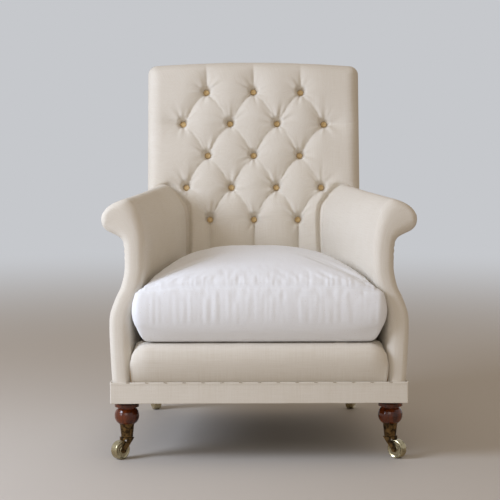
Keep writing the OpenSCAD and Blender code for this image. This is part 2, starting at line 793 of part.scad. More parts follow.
// Turned front leg: shoulder, collar, bulb and a tapered foot inside its cup
module front_leg(s) {
    foot = cup_floor + gap;
    r_cup = cup_top_d / 2 - cup_wall - gap;
    r_foot = cup_foot_d / 2 - cup_wall - gap;
    z = leg_h - gap;
    neck_z = gap + bulb_h + neck_h;
    color("saddlebrown") side(s) translate([rail_x(along(leg_y)), leg_y, cup_mouth_z]) {
        rotate_extrude($fn = 48) polygon(concat(
            [[0, foot - cup_h], [r_foot, foot - cup_h], [r_cup, 0], [r_cup, gap],
                [cup_top_d / 2, gap]],
            [for (a = [-60 : 15 : 60]) [bulb_d / 2 * (0.45 + 0.55 * cos(a)),
                gap + bulb_h / 2 * (1 + sin(a) / sin(60))]],
            [[neck_d / 2, neck_z], [collar_d / 2, neck_z + neck_h],
                [collar_d / 2, neck_z + neck_h + collar_h],
                [shoulder_d / 2, neck_z + neck_h * 2 + collar_h], [shoulder_d / 2, z], [0, z]]));
        translate([0, 0, z]) cylinder(d = peg_d, h = peg_h, $fn = 48);
    }
}

// Square rear leg, raked backwards, with a peg into the post
module rear_leg(s) {
    color("saddlebrown") side(s) translate([rail_x(1), bend_y + post_d / 2, cup_mouth_z]) {
        ring_loft([square_ring(rear_foot_w / 2 * 0.8, rear_rake, cup_floor + gap - cup_h),
            square_ring(rear_foot_w / 2 - cup_wall - gap, rear_rake, 0),
            square_ring(rear_foot_w / 2, rear_rake, gap),
            square_ring(rear_leg_w / 2, 0, leg_h - gap)]);
        translate([0, 0, leg_h - gap - over]) cylinder(d = peg_d, h = peg_h + over, $fn = 48);
    }
}

function square_ring(r, y, z) = [[-r, y - r, z], [r, y - r, z], [r, y + r, z], [-r, y + r, z]];

module front_cup(s) {
    color("goldenrod") side(s) translate([rail_x(along(leg_y)), leg_y, cup_z]) difference() {
        rotate_extrude($fn = 48) polygon([[0, 0], [cup_foot_d / 2 - cup_bead_r, 0],
            [cup_foot_d / 2, cup_bead_r], [cup_foot_d / 2, cup_bead_r * 2],
            [cup_top_d / 2 - cup_bead_r, cup_h - 3 * cup_bead_r], [cup_top_d / 2, cup_h - 2 * cup_bead_r],
            [cup_top_d / 2, cup_h], [cup_top_d / 2 - cup_wall, cup_h],
            [cup_foot_d / 2 - cup_wall, cup_floor], [0, cup_floor]]);
        spindle_bore();
    }
}

module spindle_bore() {
    translate([0, 0, -over])
        cylinder(d = spindle_d + 2 * run_gap, h = cup_floor + 2 * over, $fn = 48);
}

rear_cup_y = bend_y + post_d / 2 + rear_rake;

// Square cup of a rear castor
module rear_cup(s) {
    r0 = rear_foot_w / 2 - cup_wall / 2;
    r1 = rear_foot_w / 2 + cup_wall;
    color("goldenrod") side(s) translate([rail_x(1), rear_cup_y, cup_z]) difference() {
        ring_loft([square_ring(r0, 0, 0), square_ring(r1, 0, cup_h)]);
        ring_loft([square_ring(rear_foot_w / 2 * 0.8 + gap, 0, cup_floor),
            square_ring(rear_foot_w / 2 - cup_wall, 0, cup_h),
            square_ring(rear_foot_w / 2, 0, cup_h + over)]);
        spindle_bore();
    }
}

// Small screws through the walls of the front cups
module cup_screws() {
    h = cup_h * 0.62;
    rise = cup_h - 5 * cup_bead_r;
    flare = (cup_top_d - cup_foot_d) / 2 - cup_bead_r;
    r = cup_foot_d / 2 + flare * (h - 2 * cup_bead_r) / rise;
    color("darkgoldenrod") for (s = [left, right]) side(s)
        translate([rail_x(along(leg_y)), leg_y, cup_z + h])
            for (a = [30, 210]) rotate([0, 0, a])
                translate([r, 0, 0]) rotate([0, 90 + atan2(flare, rise), 0])
                    translate([0, 0, gap / 3])
                        cylinder(d = screw_head_d, h = screw_head_t, $fn = 24);
}

// Castors

module castor_at(s, x, y, turn) {
    side(s) translate([x, y, 0]) rotate([0, 0, turn]) children();
}

module front_castor(s) {
    castor_at(s, rail_x(along(leg_y)), leg_y, front_turn) children();
}

module rear_castor(s) {
    castor_at(s, rail_x(1), rear_cup_y, rear_turn) children();
}

// Fork with its spindle. The wheel stands off towards -Y.
module fork() {
    inner = wheel_w / 2 + cheek_gap;
    wheel_z = wheel_d / 2;
    color("darkgoldenrod") difference() {
        union() {
            translate([0, 0, crown_z]) cylinder(r = crown_r, h = crown_t, $fn = 48);
            translate([0, 0, crown_z + crown_t - over])
                cylinder(d = spindle_d, h = cup_floor + swivel_gap + over, $fn = 48);
            for (s = [left, right]) side(s) translate([inner, 0, 0]) cheek(wheel_z);
        }
        translate([-inner - 2 * cheek_t, -trail, wheel_z]) rotate([0, 90, 0])
            cylinder(d = axle_d + 2 * run_gap, h = 2 * inner + 4 * cheek_t, $fn = 48);
    }
}

// One side of the fork, from the crown down to the axle
module cheek(wheel_z) {
    w = crown_r * 0.8;
    z1 = crown_z + crown_t;
    rotate([90, 0, 90]) linear_extrude(cheek_t) difference() {
        union() {
            polygon([[w, z1], [w * 0.4, crown_z - cheek_t], [-trail + cheek_r, wheel_z],
                [-trail - cheek_r * 0.94, wheel_z + cheek_r * 0.34],
                [-w, crown_z - cheek_t], [-w, z1]]);
            translate([-trail, wheel_z]) circle(r = cheek_r, $fn = 48);
        }
    }
}

module axle() {
    half = wheel_w / 2 + cheek_gap + cheek_t + gap;
    color("goldenrod") translate([0, -trail, wheel_d / 2]) rotate([0, 90, 0]) {
        translate([0, 0, -half]) cylinder(d = axle_d, h = 2 * half, $fn = 48);
        for (z = [-half - axle_head_t + gap / 3, half - gap / 3])
            translate([0, 0, z]) cylinder(d = axle_head_d, h = axle_head_t, $fn = 48);
    }
}

module wheel() {
    r = wheel_d / 2;
    h = wheel_w / 2;
    color("gold") translate([0, -trail, r]) rotate([0, 90, 0]) rotate_extrude($fn = 64)
        polygon([[axle_d / 2 + run_gap, -h], [hub_d / 2, -h], [hub_d / 2 + hub_relief, -h + hub_relief],
            [r - wheel_round * 2, -h + hub_relief], [r - wheel_round, -h],
            [r - wheel_round * 0.3, -h + wheel_round * 0.3], [r, -h + wheel_round],
            [r, h - wheel_round], [r - wheel_round * 0.3, h - wheel_round * 0.3],
            [r - wheel_round, h], [r - wheel_round * 2, h - hub_relief],
            [hub_d / 2 + hub_relief, h - hub_relief], [hub_d / 2, h], [axle_d / 2 + run_gap, h]]);
}

// Loose feather cushion: crowned above, with boxed edges that bulge over the arm fronts

// Stations from front to back: share of the depth, of the width, of the edge height, of the crown
cushion_shares = [[0, 0.72, 0.50, 0], [0.004, 0.88, 0.76, 0.02], [0.016, 0.965, 0.93, 0.10],
    [0.032, 1, 1, 0.22], [0.046, 1, 1, 0.34], [0.062, 0.985, 1, 0.46], [0.16, 1, 1, 0.78],
    [0.32, 1, 1, 0.97], [0.52, 1, 1, 1], [0.72, 1, 1, 0.88], [0.88, 1, 1, 0.55],
    [0.955, 0.97, 0.95, 0.25], [1, 0.82, 0.60, 0]];
cushion_fit = 3;
// The cushion's full width, in front of the arms
cushion_inset = 16;
cushion_front_w = waist_w - 2 * cushion_inset;

function cushion_bottom(y) = deck_top(y) + soft_gap;

// One section of the cushion, as points round it at depth y
function cushion_ring(y, k, edge, crown) =
    let (z0 = cushion_bottom(y), mid = z0 + cushion_t / 2, half = cushion_t / 2 * edge,
        free = y < -gap)
    [for (i = [0 : 31]) let (a = 360 * i / 32 + 360 / 64,
            cx = sign(cos(a)) * pow(abs(cos(a)), 0.42), cz = sign(sin(a)) * pow(abs(sin(a)), 0.5),
            zc = mid + half * cz, top = max(0, cz) * cushion_crown * crown
                * pow(max(0, 1 - pow(abs(cx), 2.6)), 0.8),
            lim = free ? cushion_front_w / 2 : min(arm_inside(y, min(zc, waist_z)), cushion_front_w / 2))
        [-(lim - cushion_fit) * k * cx, y, cz < 0 && edge == 1 ? max(z0, zc + (zc - mid) * 0.02) : zc + top]];

module seat_cushion() {
    y1 = bend_y - back_t - soft_gap * 4;
    depth = y1 + cushion_over;
    color("white") ring_loft([for (s = cushion_shares)
        cushion_ring(-cushion_over + s[0] * depth, s[1], s[2], s[3])]);
}

place() front_rail();
place() back_rail();
place() side_rail(left);  // side_rail_left
place() side_rail(right);  // side_rail_right
place() corner_blocks();
place() arm_post(left);  // arm_post_left
place() arm_post(right);  // arm_post_right
place() arm_rail(left);  // arm_rail_left
place() arm_rail(right);  // arm_rail_right
place() arm_tack_rail(left);  // arm_tack_rail_left
place() arm_tack_rail(right);  // arm_tack_rail_right
place() back_post(left);  // back_post_left
place() back_post(right);  // back_post_right
place() back_top_rail();
place() back_tack_rail();
place() seat_webbing();
place() seat_springs();
place() seat_hessian();
place() seat_deck();
place() back_webbing();
place() back_hessian();
place() back_pad();
place() back_buttons();
place() arm_pad(left);  // arm_pad_left
place() arm_pad(right);  // arm_pad_right
place() arm_front(left);  // arm_front_left
place() arm_front(right);  // arm_front_right
place() outer_arm(left);  // outer_arm_left
place() outer_arm(right);  // outer_arm_right
place() outer_back();
place() front_apron();
place() side_apron(left);  // side_apron_left
place() side_apron(right);  // side_apron_right
place() back_apron();
place() bottom_cloth();
place() front_leg(left);  // front_leg_left
place() front_leg(right);  // front_leg_right
place() rear_leg(left);  // rear_leg_left
place() rear_leg(right);  // rear_leg_right
place() front_cup(left);  // front_cup_left
place() front_cup(right);  // front_cup_right
place() rear_cup(left);  // rear_cup_left
place() rear_cup(right);  // rear_cup_right
place() cup_screws();
place() front_castor(left) fork();  // front_fork_left
place() front_castor(right) fork();  // front_fork_right
place() rear_castor(left) fork();  // rear_fork_left
place() rear_castor(right) fork();  // rear_fork_right
place() front_castor(left) axle();  // front_axle_left
place() front_castor(right) axle();  // front_axle_right
place() rear_castor(left) axle();  // rear_axle_left
place() rear_castor(right) axle();  // rear_axle_right
place() front_castor(left) wheel();  // front_wheel_left
place() front_castor(right) wheel();  // front_wheel_right
place() rear_castor(left) wheel();  // rear_wheel_left
place() rear_castor(right) wheel();  // rear_wheel_right
place() seat_cushion();
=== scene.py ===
# %% [markdown]
# # A button-back easy chair, covered in calico
# The chair is shown as an upholsterer finishes it before the top cover goes on: a beech
# frame, stuffed and covered in plain unbleached cotton, with a loose feather cushion in white
# cambric, turned mahogany front legs and brass castors. The frame with all its sizes comes
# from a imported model. This script keeps the hard pieces, and makes every soft piece anew
# from the same measures, with many more faces and the folds that cloth has.

# %% Load the frame
import functools
import json
import math

import bmesh
import bpy
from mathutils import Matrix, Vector, noise


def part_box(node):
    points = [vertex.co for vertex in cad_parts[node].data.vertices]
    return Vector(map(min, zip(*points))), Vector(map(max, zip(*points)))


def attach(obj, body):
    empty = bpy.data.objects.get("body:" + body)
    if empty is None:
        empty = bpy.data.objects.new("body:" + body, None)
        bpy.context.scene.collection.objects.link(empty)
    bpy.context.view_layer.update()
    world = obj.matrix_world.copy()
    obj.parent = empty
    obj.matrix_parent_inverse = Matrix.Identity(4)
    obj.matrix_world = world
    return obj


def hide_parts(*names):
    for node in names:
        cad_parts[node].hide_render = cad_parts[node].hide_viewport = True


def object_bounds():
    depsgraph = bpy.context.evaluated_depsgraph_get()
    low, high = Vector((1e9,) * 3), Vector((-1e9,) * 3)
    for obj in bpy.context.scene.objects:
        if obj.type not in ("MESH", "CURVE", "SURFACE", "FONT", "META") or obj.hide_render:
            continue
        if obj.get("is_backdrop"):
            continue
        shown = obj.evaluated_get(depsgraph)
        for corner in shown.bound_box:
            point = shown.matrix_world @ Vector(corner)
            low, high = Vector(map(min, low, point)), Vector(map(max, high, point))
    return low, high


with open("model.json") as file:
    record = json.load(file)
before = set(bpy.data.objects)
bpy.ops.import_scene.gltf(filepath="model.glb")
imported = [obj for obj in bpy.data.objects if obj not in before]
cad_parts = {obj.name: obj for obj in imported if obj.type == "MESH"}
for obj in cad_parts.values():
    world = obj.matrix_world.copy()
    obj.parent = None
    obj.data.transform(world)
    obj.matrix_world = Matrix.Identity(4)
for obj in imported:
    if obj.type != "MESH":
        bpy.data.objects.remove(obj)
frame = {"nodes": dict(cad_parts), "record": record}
cad_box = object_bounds()
MM = 0.001

# %% [markdown]
# ## One place to stand
# Every measure below is written in millimetres from the plane of the arm fronts, as a maker
# would take it from the chair. One function turns such a place into metres in the frame.

# %% From the maker's measures to the frame
both_sides = ((-1, "left"), (1, "right"))
arm_front_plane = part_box("arm_front_left")[0].y


def place(x, y, z):
    """A point in metres: x across, y behind the arm fronts and z above the floor, in mm."""
    return Vector((x * MM, y * MM + arm_front_plane, z * MM))


def lerp(a, b, t):
    """The value at share t of the way from a to b."""
    return a + (b - a) * t


def clamp(x, low=0.0, high=1.0):
    """x, held between low and high."""
    return max(low, min(high, x))


def rise(x, start, end):
    """0 before start and 1 after end, with a soft change between them."""
    t = clamp((x - start) / (end - start))
    return t * t * (3 - 2 * t)


def hump(x, start, end):
    """A soft swelling between start and end, 1 in its middle."""
    return math.sin(math.pi * clamp((x - start) / (end - start))) ** 2


print("arm fronts stand at y =", round(arm_front_plane, 4))

# %% [markdown]
# ## Camera
# The photograph was taken from about four metres with a long lens, a little above the arms
# and looking slightly down. The chair stands turned by about one degree, so the camera is
# moved round it by as much instead. The focal length comes from the size of the chair in the
# picture: 1 m at the arm fronts covers about 420 of the 500 pixels.

# %% Camera
picture_px = 500
focal_px = 1690
sensor_mm = 36
eye = Vector((-0.098, -4.389, 0.899))
turn_deg, pitch_deg = 1.08, 5.5

lens = bpy.data.cameras.new("lens")
lens.sensor_width = sensor_mm
lens.lens = sensor_mm * focal_px / picture_px
camera = bpy.data.objects.new("camera", lens)
camera.location = eye
camera.rotation_euler = (math.radians(90 - pitch_deg), 0, math.radians(-turn_deg))
bpy.context.scene.collection.objects.link(camera)
bpy.context.scene.camera = camera
print("lens", round(lens.lens, 1), "mm")

# %% [markdown]
# ## Colours and the shading graph
# Colours are written as they look on a screen, in hex. The renderer works with linear light,
# so one function turns them. Another adds a shader node with its settings and its links, which
# keeps every finish readable as one short list. Sockets that share a name go by their number:
# a Mix node takes its share at 0 and two colours at 6 and 7, and gives the mixed colour at 2. A
# Map Range node reads the range from 1 to 2 and gives the range from 3 to 4.

# %% Colours and nodes


def linear(colour):
    """A screen colour such as "#E5E0D6" as linear red, green, blue and alpha."""
    parts = [int(colour[i : i + 2], 16) / 255 for i in (1, 3, 5)]
    return [c / 12.92 if c <= 0.04045 else ((c + 0.055) / 1.055) ** 2.4 for c in parts] + [1.0]


def add(tree, kind, feeds=None, **settings):
    """One shader node. feeds gives each socket a value, or another node's output."""
    made = tree.nodes.new("ShaderNode" + kind)
    for name, value in settings.items():
        setattr(made, name, value)
    for socket, value in (feeds or {}).items():
        if isinstance(value, bpy.types.NodeSocket):
            tree.links.new(value, made.inputs[socket])
        else:
            made.inputs[socket].default_value = value
    return made


def finish_of(name, **sockets):
    """A new finish: its material, its node tree and the shader that carries its numbers."""
    material = bpy.data.materials.new(name)
    material.use_nodes = True
    tree = material.node_tree
    shader = tree.nodes["Principled BSDF"]
    for socket, value in sockets.items():
        shader.inputs[socket.replace("_", " ")].default_value = value
    return material, tree, shader


def dress(tree, shader, colour, height, relief_mm, strength):
    """Links a finish's colour and its relief to the shader."""
    tree.links.new(colour.outputs[2], shader.inputs["Base Color"])
    bump = add(tree, "Bump", {"Height": height, "Distance": relief_mm * MM, "Strength": strength})
    tree.links.new(bump.outputs[0], shader.inputs["Normal"])


print("calico in linear light:", [round(c, 3) for c in linear("#E5E0D6")])

# %% [markdown]
# ## Calico
# Unbleached cotton in a plain weave. It is matt, a little warm, and has slubs where a thread
# thickens, along both ways of the cloth. The covers are laid out with their own UV map in
# metres, so the threads run along each cover. A real thread is 0.4 mm wide, which no picture
# of a whole chair shows, so the weave is drawn 1.6 mm wide and kept shallow. Slubs are about
# 70 mm long, the tint changes over 140 mm, and seed flecks measure 2.4 mm. The scale of a
# pattern is how often it fits into a metre, so it is 1000 over its size in millimetres.

# %% Woven cloth
thread_mm, slub_mm = 1.6, 72
weave_depth = 0.22
cloud_mm, fleck_mm = 143, 2.38
seed_fleck = "#B79E73"


def weave(tree, place_on, thread):
    """Height and slub share of a plain weave, from a place measured in metres."""
    fine, coarse = 1000 / thread, 1000 / slub_mm
    ways = [
        add(tree, "Mapping", {"Vector": place_on, "Scale": scale})
        for scale in ((coarse, fine, 1), (fine, coarse, 1))
    ]
    slubs = [
        add(tree, "TexNoise", {"Vector": way.outputs[0], "Scale": 1.0, "Detail": 2.0}) for way in ways
    ]
    slub = add(tree, "Math", {0: slubs[0].outputs[0], 1: slubs[1].outputs[0]}, operation="ADD")
    turns = fine * math.tau
    split = add(tree, "SeparateXYZ", {0: place_on})
    waves = []
    for axis in "XYZ":
        angle = add(tree, "Math", {0: split.outputs[axis], 1: turns}, operation="MULTIPLY")
        waves.append(add(tree, "Math", {0: angle.outputs[0]}, operation="SINE"))
    crossings = [
        add(tree, "Math", {0: waves[a].outputs[0], 1: waves[b].outputs[0]}, operation="MULTIPLY")
        for a, b in ((0, 1), (2, 0))
    ]
    both = add(tree, "Math", {0: crossings[0].outputs[0], 1: crossings[1].outputs[0]}, operation="ADD")
    height = add(
        tree, "Math", {0: both.outputs[0], 1: weave_depth, 2: slub.outputs[0]}, operation="MULTIPLY_ADD"
    )
    return height.outputs[0], slub.outputs[0]


def cotton(name, pale, deep, thread, relief, on_uv=True, **sockets):
    """A cotton finish: two close colours, slubs, a few seed flecks and the weave's relief."""
    material, tree, shader = finish_of(name, **sockets)
    if on_uv:
        source = add(tree, "UVMap", uv_map="cloth").outputs[0]
    else:
        source = add(tree, "TexCoord").outputs["Object"]
    everywhere = add(tree, "TexCoord").outputs["Object"]
    height, slub = weave(tree, source, thread)
    tint = add(tree, "TexNoise", {"Vector": everywhere, "Scale": 1000 / cloud_mm, "Detail": 3.0})
    shade = add(
        tree, "MapRange", {0: slub, 1: 0.6, 2: 1.4, 3: 0.0, 4: 0.55}, interpolation_type="SMOOTHSTEP"
    )
    both = add(
        tree, "Math", {0: tint.outputs[0], 1: 0.45, 2: shade.outputs[0]}, operation="MULTIPLY_ADD"
    )
    plain = add(tree, "Mix", {0: both.outputs[0], 6: linear(pale), 7: linear(deep)}, data_type="RGBA")
    fleck = add(tree, "TexNoise", {"Vector": everywhere, "Scale": 1000 / fleck_mm, "Detail": 1.0})
    share = add(tree, "MapRange", {0: fleck.outputs[0], 1: 0.74, 2: 0.78, 3: 0.0, 4: 0.4})
    flecked = add(
        tree, "Mix", {0: share.outputs[0], 6: plain.outputs[2], 7: linear(seed_fleck)}, data_type="RGBA"
    )
    dress(tree, shader, flecked, height, relief, 0.6)
    return material


calico = cotton(
    "calico_plain_weave", "#E5E0D6", "#D8D0C2", thread_mm, 0.25, Roughness=0.86, Sheen_Weight=0.12,
    Sheen_Roughness=0.5, Specular_IOR_Level=0.25,
)
print("calico threads every", thread_mm, "mm")

# %% [markdown]
# ## White cambric and the buttons' cotton
# The loose cushion has a case of down-proof cambric, a close white cotton that is pressed
# with hot rollers, so it is smoother and cooler in colour than the calico. The buttons are
# covered in a golden cotton. Both are the same weave with a finer thread.

# %% Cambric and button cotton
cambric = cotton(
    "cambric_pressed_cotton", "#F4F6F9", "#ECEEF2", 1.1, 0.12, Roughness=0.72, Sheen_Weight=0.08,
    Sheen_Roughness=0.4, Specular_IOR_Level=0.3,
)
button_cotton = cotton(
    "golden_button_cotton", "#E9D1A2", "#D3B57F", 0.9, 0.2, on_uv=False, Roughness=0.8,
    Sheen_Weight=0.2, Sheen_Roughness=0.4, Specular_IOR_Level=0.3,
)
tacking = cotton(
    "grey_linen_thread", "#B7A891", "#8F8470", 0.8, 0.2, on_uv=False, Roughness=0.8,
    Specular_IOR_Level=0.3,
)
print("cottons:", calico.name, cambric.name, button_cotton.name, tacking.name)

# %% [markdown]
# ## Wood
# The front legs are turned mahogany with a French polish: many thin coats of shellac rubbed
# to a gloss, over red-brown wood whose pores run up the leg. Under the cloth the frame is
# plain planed beech, pale with short dark flecks. One function draws grain as noise that is
# stretched along the wood, and each finish gives it its own colours and gloss. The bands of
# growth are about 17 mm wide, and pores and bands run long by the two stretches.

# %% Mahogany and beech
band_mm, pore_stretch, band_stretch = 16.7, 24, 14


def wood(name, pale, deep, pore_mm, along, relief, **sockets):
    """Wood with its grain along one axis, X, Y or Z."""
    material, tree, shader = finish_of(name, **sockets)
    spot = add(tree, "TexCoord").outputs["Object"]
    noises = []
    for wide, stretch, detail in (
        (1000 / pore_mm, pore_stretch, {"Detail": 3.0}),
        (1000 / band_mm, band_stretch, {"Detail": 4.0, "Distortion": 0.6}),
    ):
        scale = [wide / stretch if axis == along else wide for axis in "XYZ"]
        stretched = add(tree, "Mapping", {"Vector": spot, "Scale": scale}).outputs[0]
        noises.append(add(tree, "TexNoise", {"Vector": stretched, "Scale": 1.0, **detail}))
    pores, bands = noises
    figure = add(tree, "MapRange", {0: bands.outputs[0], 1: 0.35, 2: 0.68, 3: 0.0, 4: 1.0})
    ground = add(
        tree, "Mix", {0: figure.outputs[0], 6: linear(pale), 7: linear(deep)}, data_type="RGBA"
    )
    pore = add(tree, "MapRange", {0: pores.outputs[0], 1: 0.56, 2: 0.66, 3: 0.0, 4: 0.55})
    colour = add(
        tree, "Mix", {0: pore.outputs[0], 6: ground.outputs[2], 7: linear(deep)}, data_type="RGBA"
    )
    dress(tree, shader, colour, pores.outputs[0], relief, 0.5)
    return material


mahogany = wood(
    "mahogany_french_polished", "#783713", "#2E1408", 0.9, "Z", 0.05, Roughness=0.16,
    Coat_Weight=0.2, Coat_Roughness=0.05, Specular_IOR_Level=0.35,
)
beech = wood("beech_planed", "#D9B98C", "#BD9463", 1.2, "Y", 0.15, Roughness=0.6)
print("woods:", mahogany.name, beech.name)

# %% [markdown]
# ## Brass
# The castors are cast brass. The cups and forks have gone brown, with dark tarnish where no
# hand reaches. The wheels' treads are polished by the floor, so they stay bright and carry
# fine scratches. Metal gets its colour from its reflection, so metallic is 1 and tarnish is
# a rougher, darker place rather than paint. Its clouds are about 12 mm across. The springs'
# oiled steel is another bare metal, made the same way.

# %% Brass and steel
tarnish_mm, tarnish_edge = 11.8, 0.16


def bare_metal(name, bright, tarnish, tarnish_from, rough, rough_tarnish, scratch_mm):
    """Metal without paint; tarnish_from is how much of the noise still counts as clean."""
    material, tree, shader = finish_of(name, Metallic=1.0)
    spot = add(tree, "TexCoord").outputs["Object"]
    cloud = add(
        tree, "TexNoise",
        {"Vector": spot, "Scale": 1000 / tarnish_mm, "Detail": 5.0, "Roughness": 0.62},
    )
    share = add(tree, "MapRange", {0: cloud.outputs[0], 1: tarnish_from, 2: tarnish_from + tarnish_edge})
    colour = add(
        tree, "Mix", {0: share.outputs[0], 6: linear(bright), 7: linear(tarnish)}, data_type="RGBA"
    )
    grain = add(tree, "TexNoise", {"Vector": spot, "Scale": 1000 / scratch_mm, "Detail": 2.0})
    gloss = add(tree, "MapRange", {0: share.outputs[0], 3: rough, 4: rough_tarnish})
    tree.links.new(gloss.outputs[0], shader.inputs["Roughness"])
    dress(tree, shader, colour, grain.outputs[0], 0.06, 0.4)
    return material


aged_brass = bare_metal("brass_cast_tarnished", "#7A5F3A", "#3C2D1C", 0.42, 0.36, 0.6, 1.6)
worn_brass = bare_metal("brass_tread_worn_bright", "#B7AA88", "#6E6246", 0.52, 0.26, 0.45, 1.1)
steel = bare_metal("spring_steel_oiled", "#8A8B8C", "#4E4B48", 0.5, 0.35, 0.6, 1.4)
print("metals:", aged_brass.name, worn_brass.name, steel.name)

# %% [markdown]
# ## Jute and black cloth
# What holds the stuffing up can't be seen on the finished chair, but it is there: woven jute
# webbing, hessian over the springs, and a thin black cloth under the seat. They are the same
# weave again, coarser and in the colours of jute and of dyed cotton.

# %% Webbing, hessian and bottom cloth
webbing = cotton("jute_webbing", "#B99D6E", "#94774A", 2.4, 0.6, on_uv=False, Roughness=0.9)
hessian = cotton("hessian_open_weave", "#C2A777", "#9F8252", 3.0, 0.7, on_uv=False, Roughness=0.95)
black_cloth = cotton("black_dust_cloth", "#24211F", "#171513", 1.2, 0.15, on_uv=False, Roughness=0.85)
print("inner cloths:", webbing.name, hessian.name, black_cloth.name)

# %% [markdown]
# ## How a cover is made
# A cover could be sculpted, or drawn as single faces. Here it is cut as an upholsterer cuts
# it: a flat grid of cloth is laid over the form, station after station, and each of its
# corners is moved to its place. The grid keeps even faces for the folds. The way along it in
# metres becomes the UV map, so the weave follows the cloth.

# %% Lay a grid of cloth over stations
collection = bpy.context.scene.collection


def finish_piece(name, bm, material, body="chair"):
    """Turns a bmesh into a piece with its finish, riding on a body."""
    mesh = bpy.data.meshes.new(name)
    bm.to_mesh(mesh)
    bm.free()
    mesh.shade_smooth()
    mesh.materials.append(material)
    piece = bpy.data.objects.new(name, mesh)
    collection.objects.link(piece)
    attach(piece, body)
    return piece


def lay(bm, stations, close=False):
    """A grid laid over stations, each a row of points. close joins each row into a ring."""
    rows, columns = len(stations), len(stations[0]) + (1 if close else 0)
    grid = bmesh.ops.create_grid(bm, x_segments=columns - 1, y_segments=rows - 1, size=0.5)
    cloth = bm.loops.layers.uv.verify()
    spots = {}
    for vert in grid["verts"]:
        i, j = (vert.co.x + 0.5) * (columns - 1), (vert.co.y + 0.5) * (rows - 1)
        spots[vert] = (round(i), round(j))
    ring = [row + row[:1] if close else row for row in stations]
    across, along = [[0.0] * columns for _ in ring], [[0.0] * columns for _ in ring]
    for j, row in enumerate(ring):
        for i in range(columns):
            if i:
                across[j][i] = across[j][i - 1] + (row[i] - row[i - 1]).length
            if j:
                along[j][i] = along[j - 1][i] + (row[i] - ring[j - 1][i]).length
    middle = columns // 2
    faces = [face for face in bm.faces if face.verts[0] in spots]
    for face in faces:
        for loop in face.loops:
            i, j = spots[loop.vert]
            loop[cloth].uv = (across[j][i] - across[j][middle], along[j][i])
    for vert, (i, j) in spots.items():
        vert.co = ring[j][i]
    return faces, spots


def close_up(bm, weld_mm=0.02):
    """Welds what meets, and turns every face outwards."""
    bmesh.ops.remove_doubles(bm, verts=bm.verts, dist=weld_mm * MM)
    bmesh.ops.dissolve_degenerate(bm, edges=bm.edges, dist=weld_mm * MM / 2)
    bmesh.ops.recalc_face_normals(bm, faces=bm.faces)


def close_ends(bm):
    """Fills the open ends of a cover, and turns every face outwards again."""
    bmesh.ops.holes_fill(bm, edges=[edge for edge in bm.edges if edge.is_boundary])
    bmesh.ops.recalc_face_normals(bm, faces=bm.faces)


def name_map(piece):
    """Gives the UV map the name that the cloth finishes ask for."""
    piece.data.uv_layers[0].name = "cloth"
    return piece


def curve_through(points, steps):
    """Points on a smooth line through the given ones, with so many steps between two."""
    ends = [2 * points[0] - points[1]] + points + [2 * points[-1] - points[-2]]
    line = []
    for k in range(1, len(ends) - 2):
        a, b, c, d = ends[k - 1 : k + 3]
        for s in range(steps):
            t = s / steps
            line.append(
                0.5 * (2 * b + (c - a) * t + (2 * a - 5 * b + 4 * c - d) * t**2
                       + (3 * b - a - 3 * c + d) * t**3)
            )
    return line + [points[-1]]


print("a cover is laid from rows of points")

# %% [markdown]
# ## Measures of the chair
# These are the measures that the covers share with the frame: heights, widths and the lean of
# the back. The back leans about the bend of its posts, so a place on it is given as across,
# forward and up along the lean, and turned into the upright frame.

# %% Shared measures
overall_h, arm_span, base_w, back_w, body_d = 967, 758, 722, 582, 662
recline = math.radians(12.5)
frame_z, bend_z, post_d = 147.8, 279, 45
waist_z, waist_w, arm_h, arm_t, arm_back_t = 487, 645, 634, 49, 101
back_t, pad_round, back_crown, corner_round = 78, 34, 12, 24
apron_h, cloth_t = 52, 3
bend_y = body_d - post_d
back_len = pad_round + (
    overall_h - bend_z - pad_round - (back_t - pad_round) * math.sin(recline)
) / math.cos(recline)


def leaning(across, forward, up):
    """A place on the back: forward of the posts' front, up along the lean from the bend."""
    behind = bend_y - forward * math.cos(recline) + up * math.sin(recline)
    return place(across, behind, bend_z + forward * math.sin(recline) + up * math.cos(recline))


def post_y(z):
    """Where the posts' front stands at a height."""
    return bend_y + max(0, z - bend_z) * math.tan(recline)


print("the back is", round(back_len), "mm long, and leans", round(math.degrees(recline), 1), "degrees")

# %% [markdown]
# ## The form of an arm
# Each arm is stuffed over a board and a rail, and its cloth runs from the seat up the inside,
# over the roll and round the front. Seen from the front the arm is an S: a straight foot, a
# waist, and a roll that flares outwards. Its two outlines are given as shares of the flare and
# of the height, and both fade towards the back, where the arm is wide and upright. The outlines
# come before the buttoned back, because its cloth is drawn in where it meets the arms.

# %% Outline of an arm
lower_shares = [(0.77, 0), (0.85, 0.143), (0.96, 0.373), (1, 0.53), (0.93, 0.63), (0.56, 0.743),
                (0.25, 0.814), (0.03, 0.917), (0, 1)]
outer_shares = [(0.03, 0.245), (0.125, 0.354), (0.32, 0.41), (0.54, 0.45), (0.77, 0.495),
                (0.94, 0.565), (1, 0.655), (0.985, 0.735)]
inner_shares = [(0.005, 0.272), (0.04, 0.51), (0.114, 0.714), (0.22, 0.884), (0.41, 1),
                (0.66, 0.957), (0.84, 0.882), (0.94, 0.805)]
outline_steps, arm_swell = 5, 17


def swell(t, z):
    """How far the stuffing inside an arm stands in over the seat, most beside the back."""
    return arm_swell * rise(t, 0.05, 1.0) * rise(z, 300, 420) * (1 - rise(z, 560, arm_h))


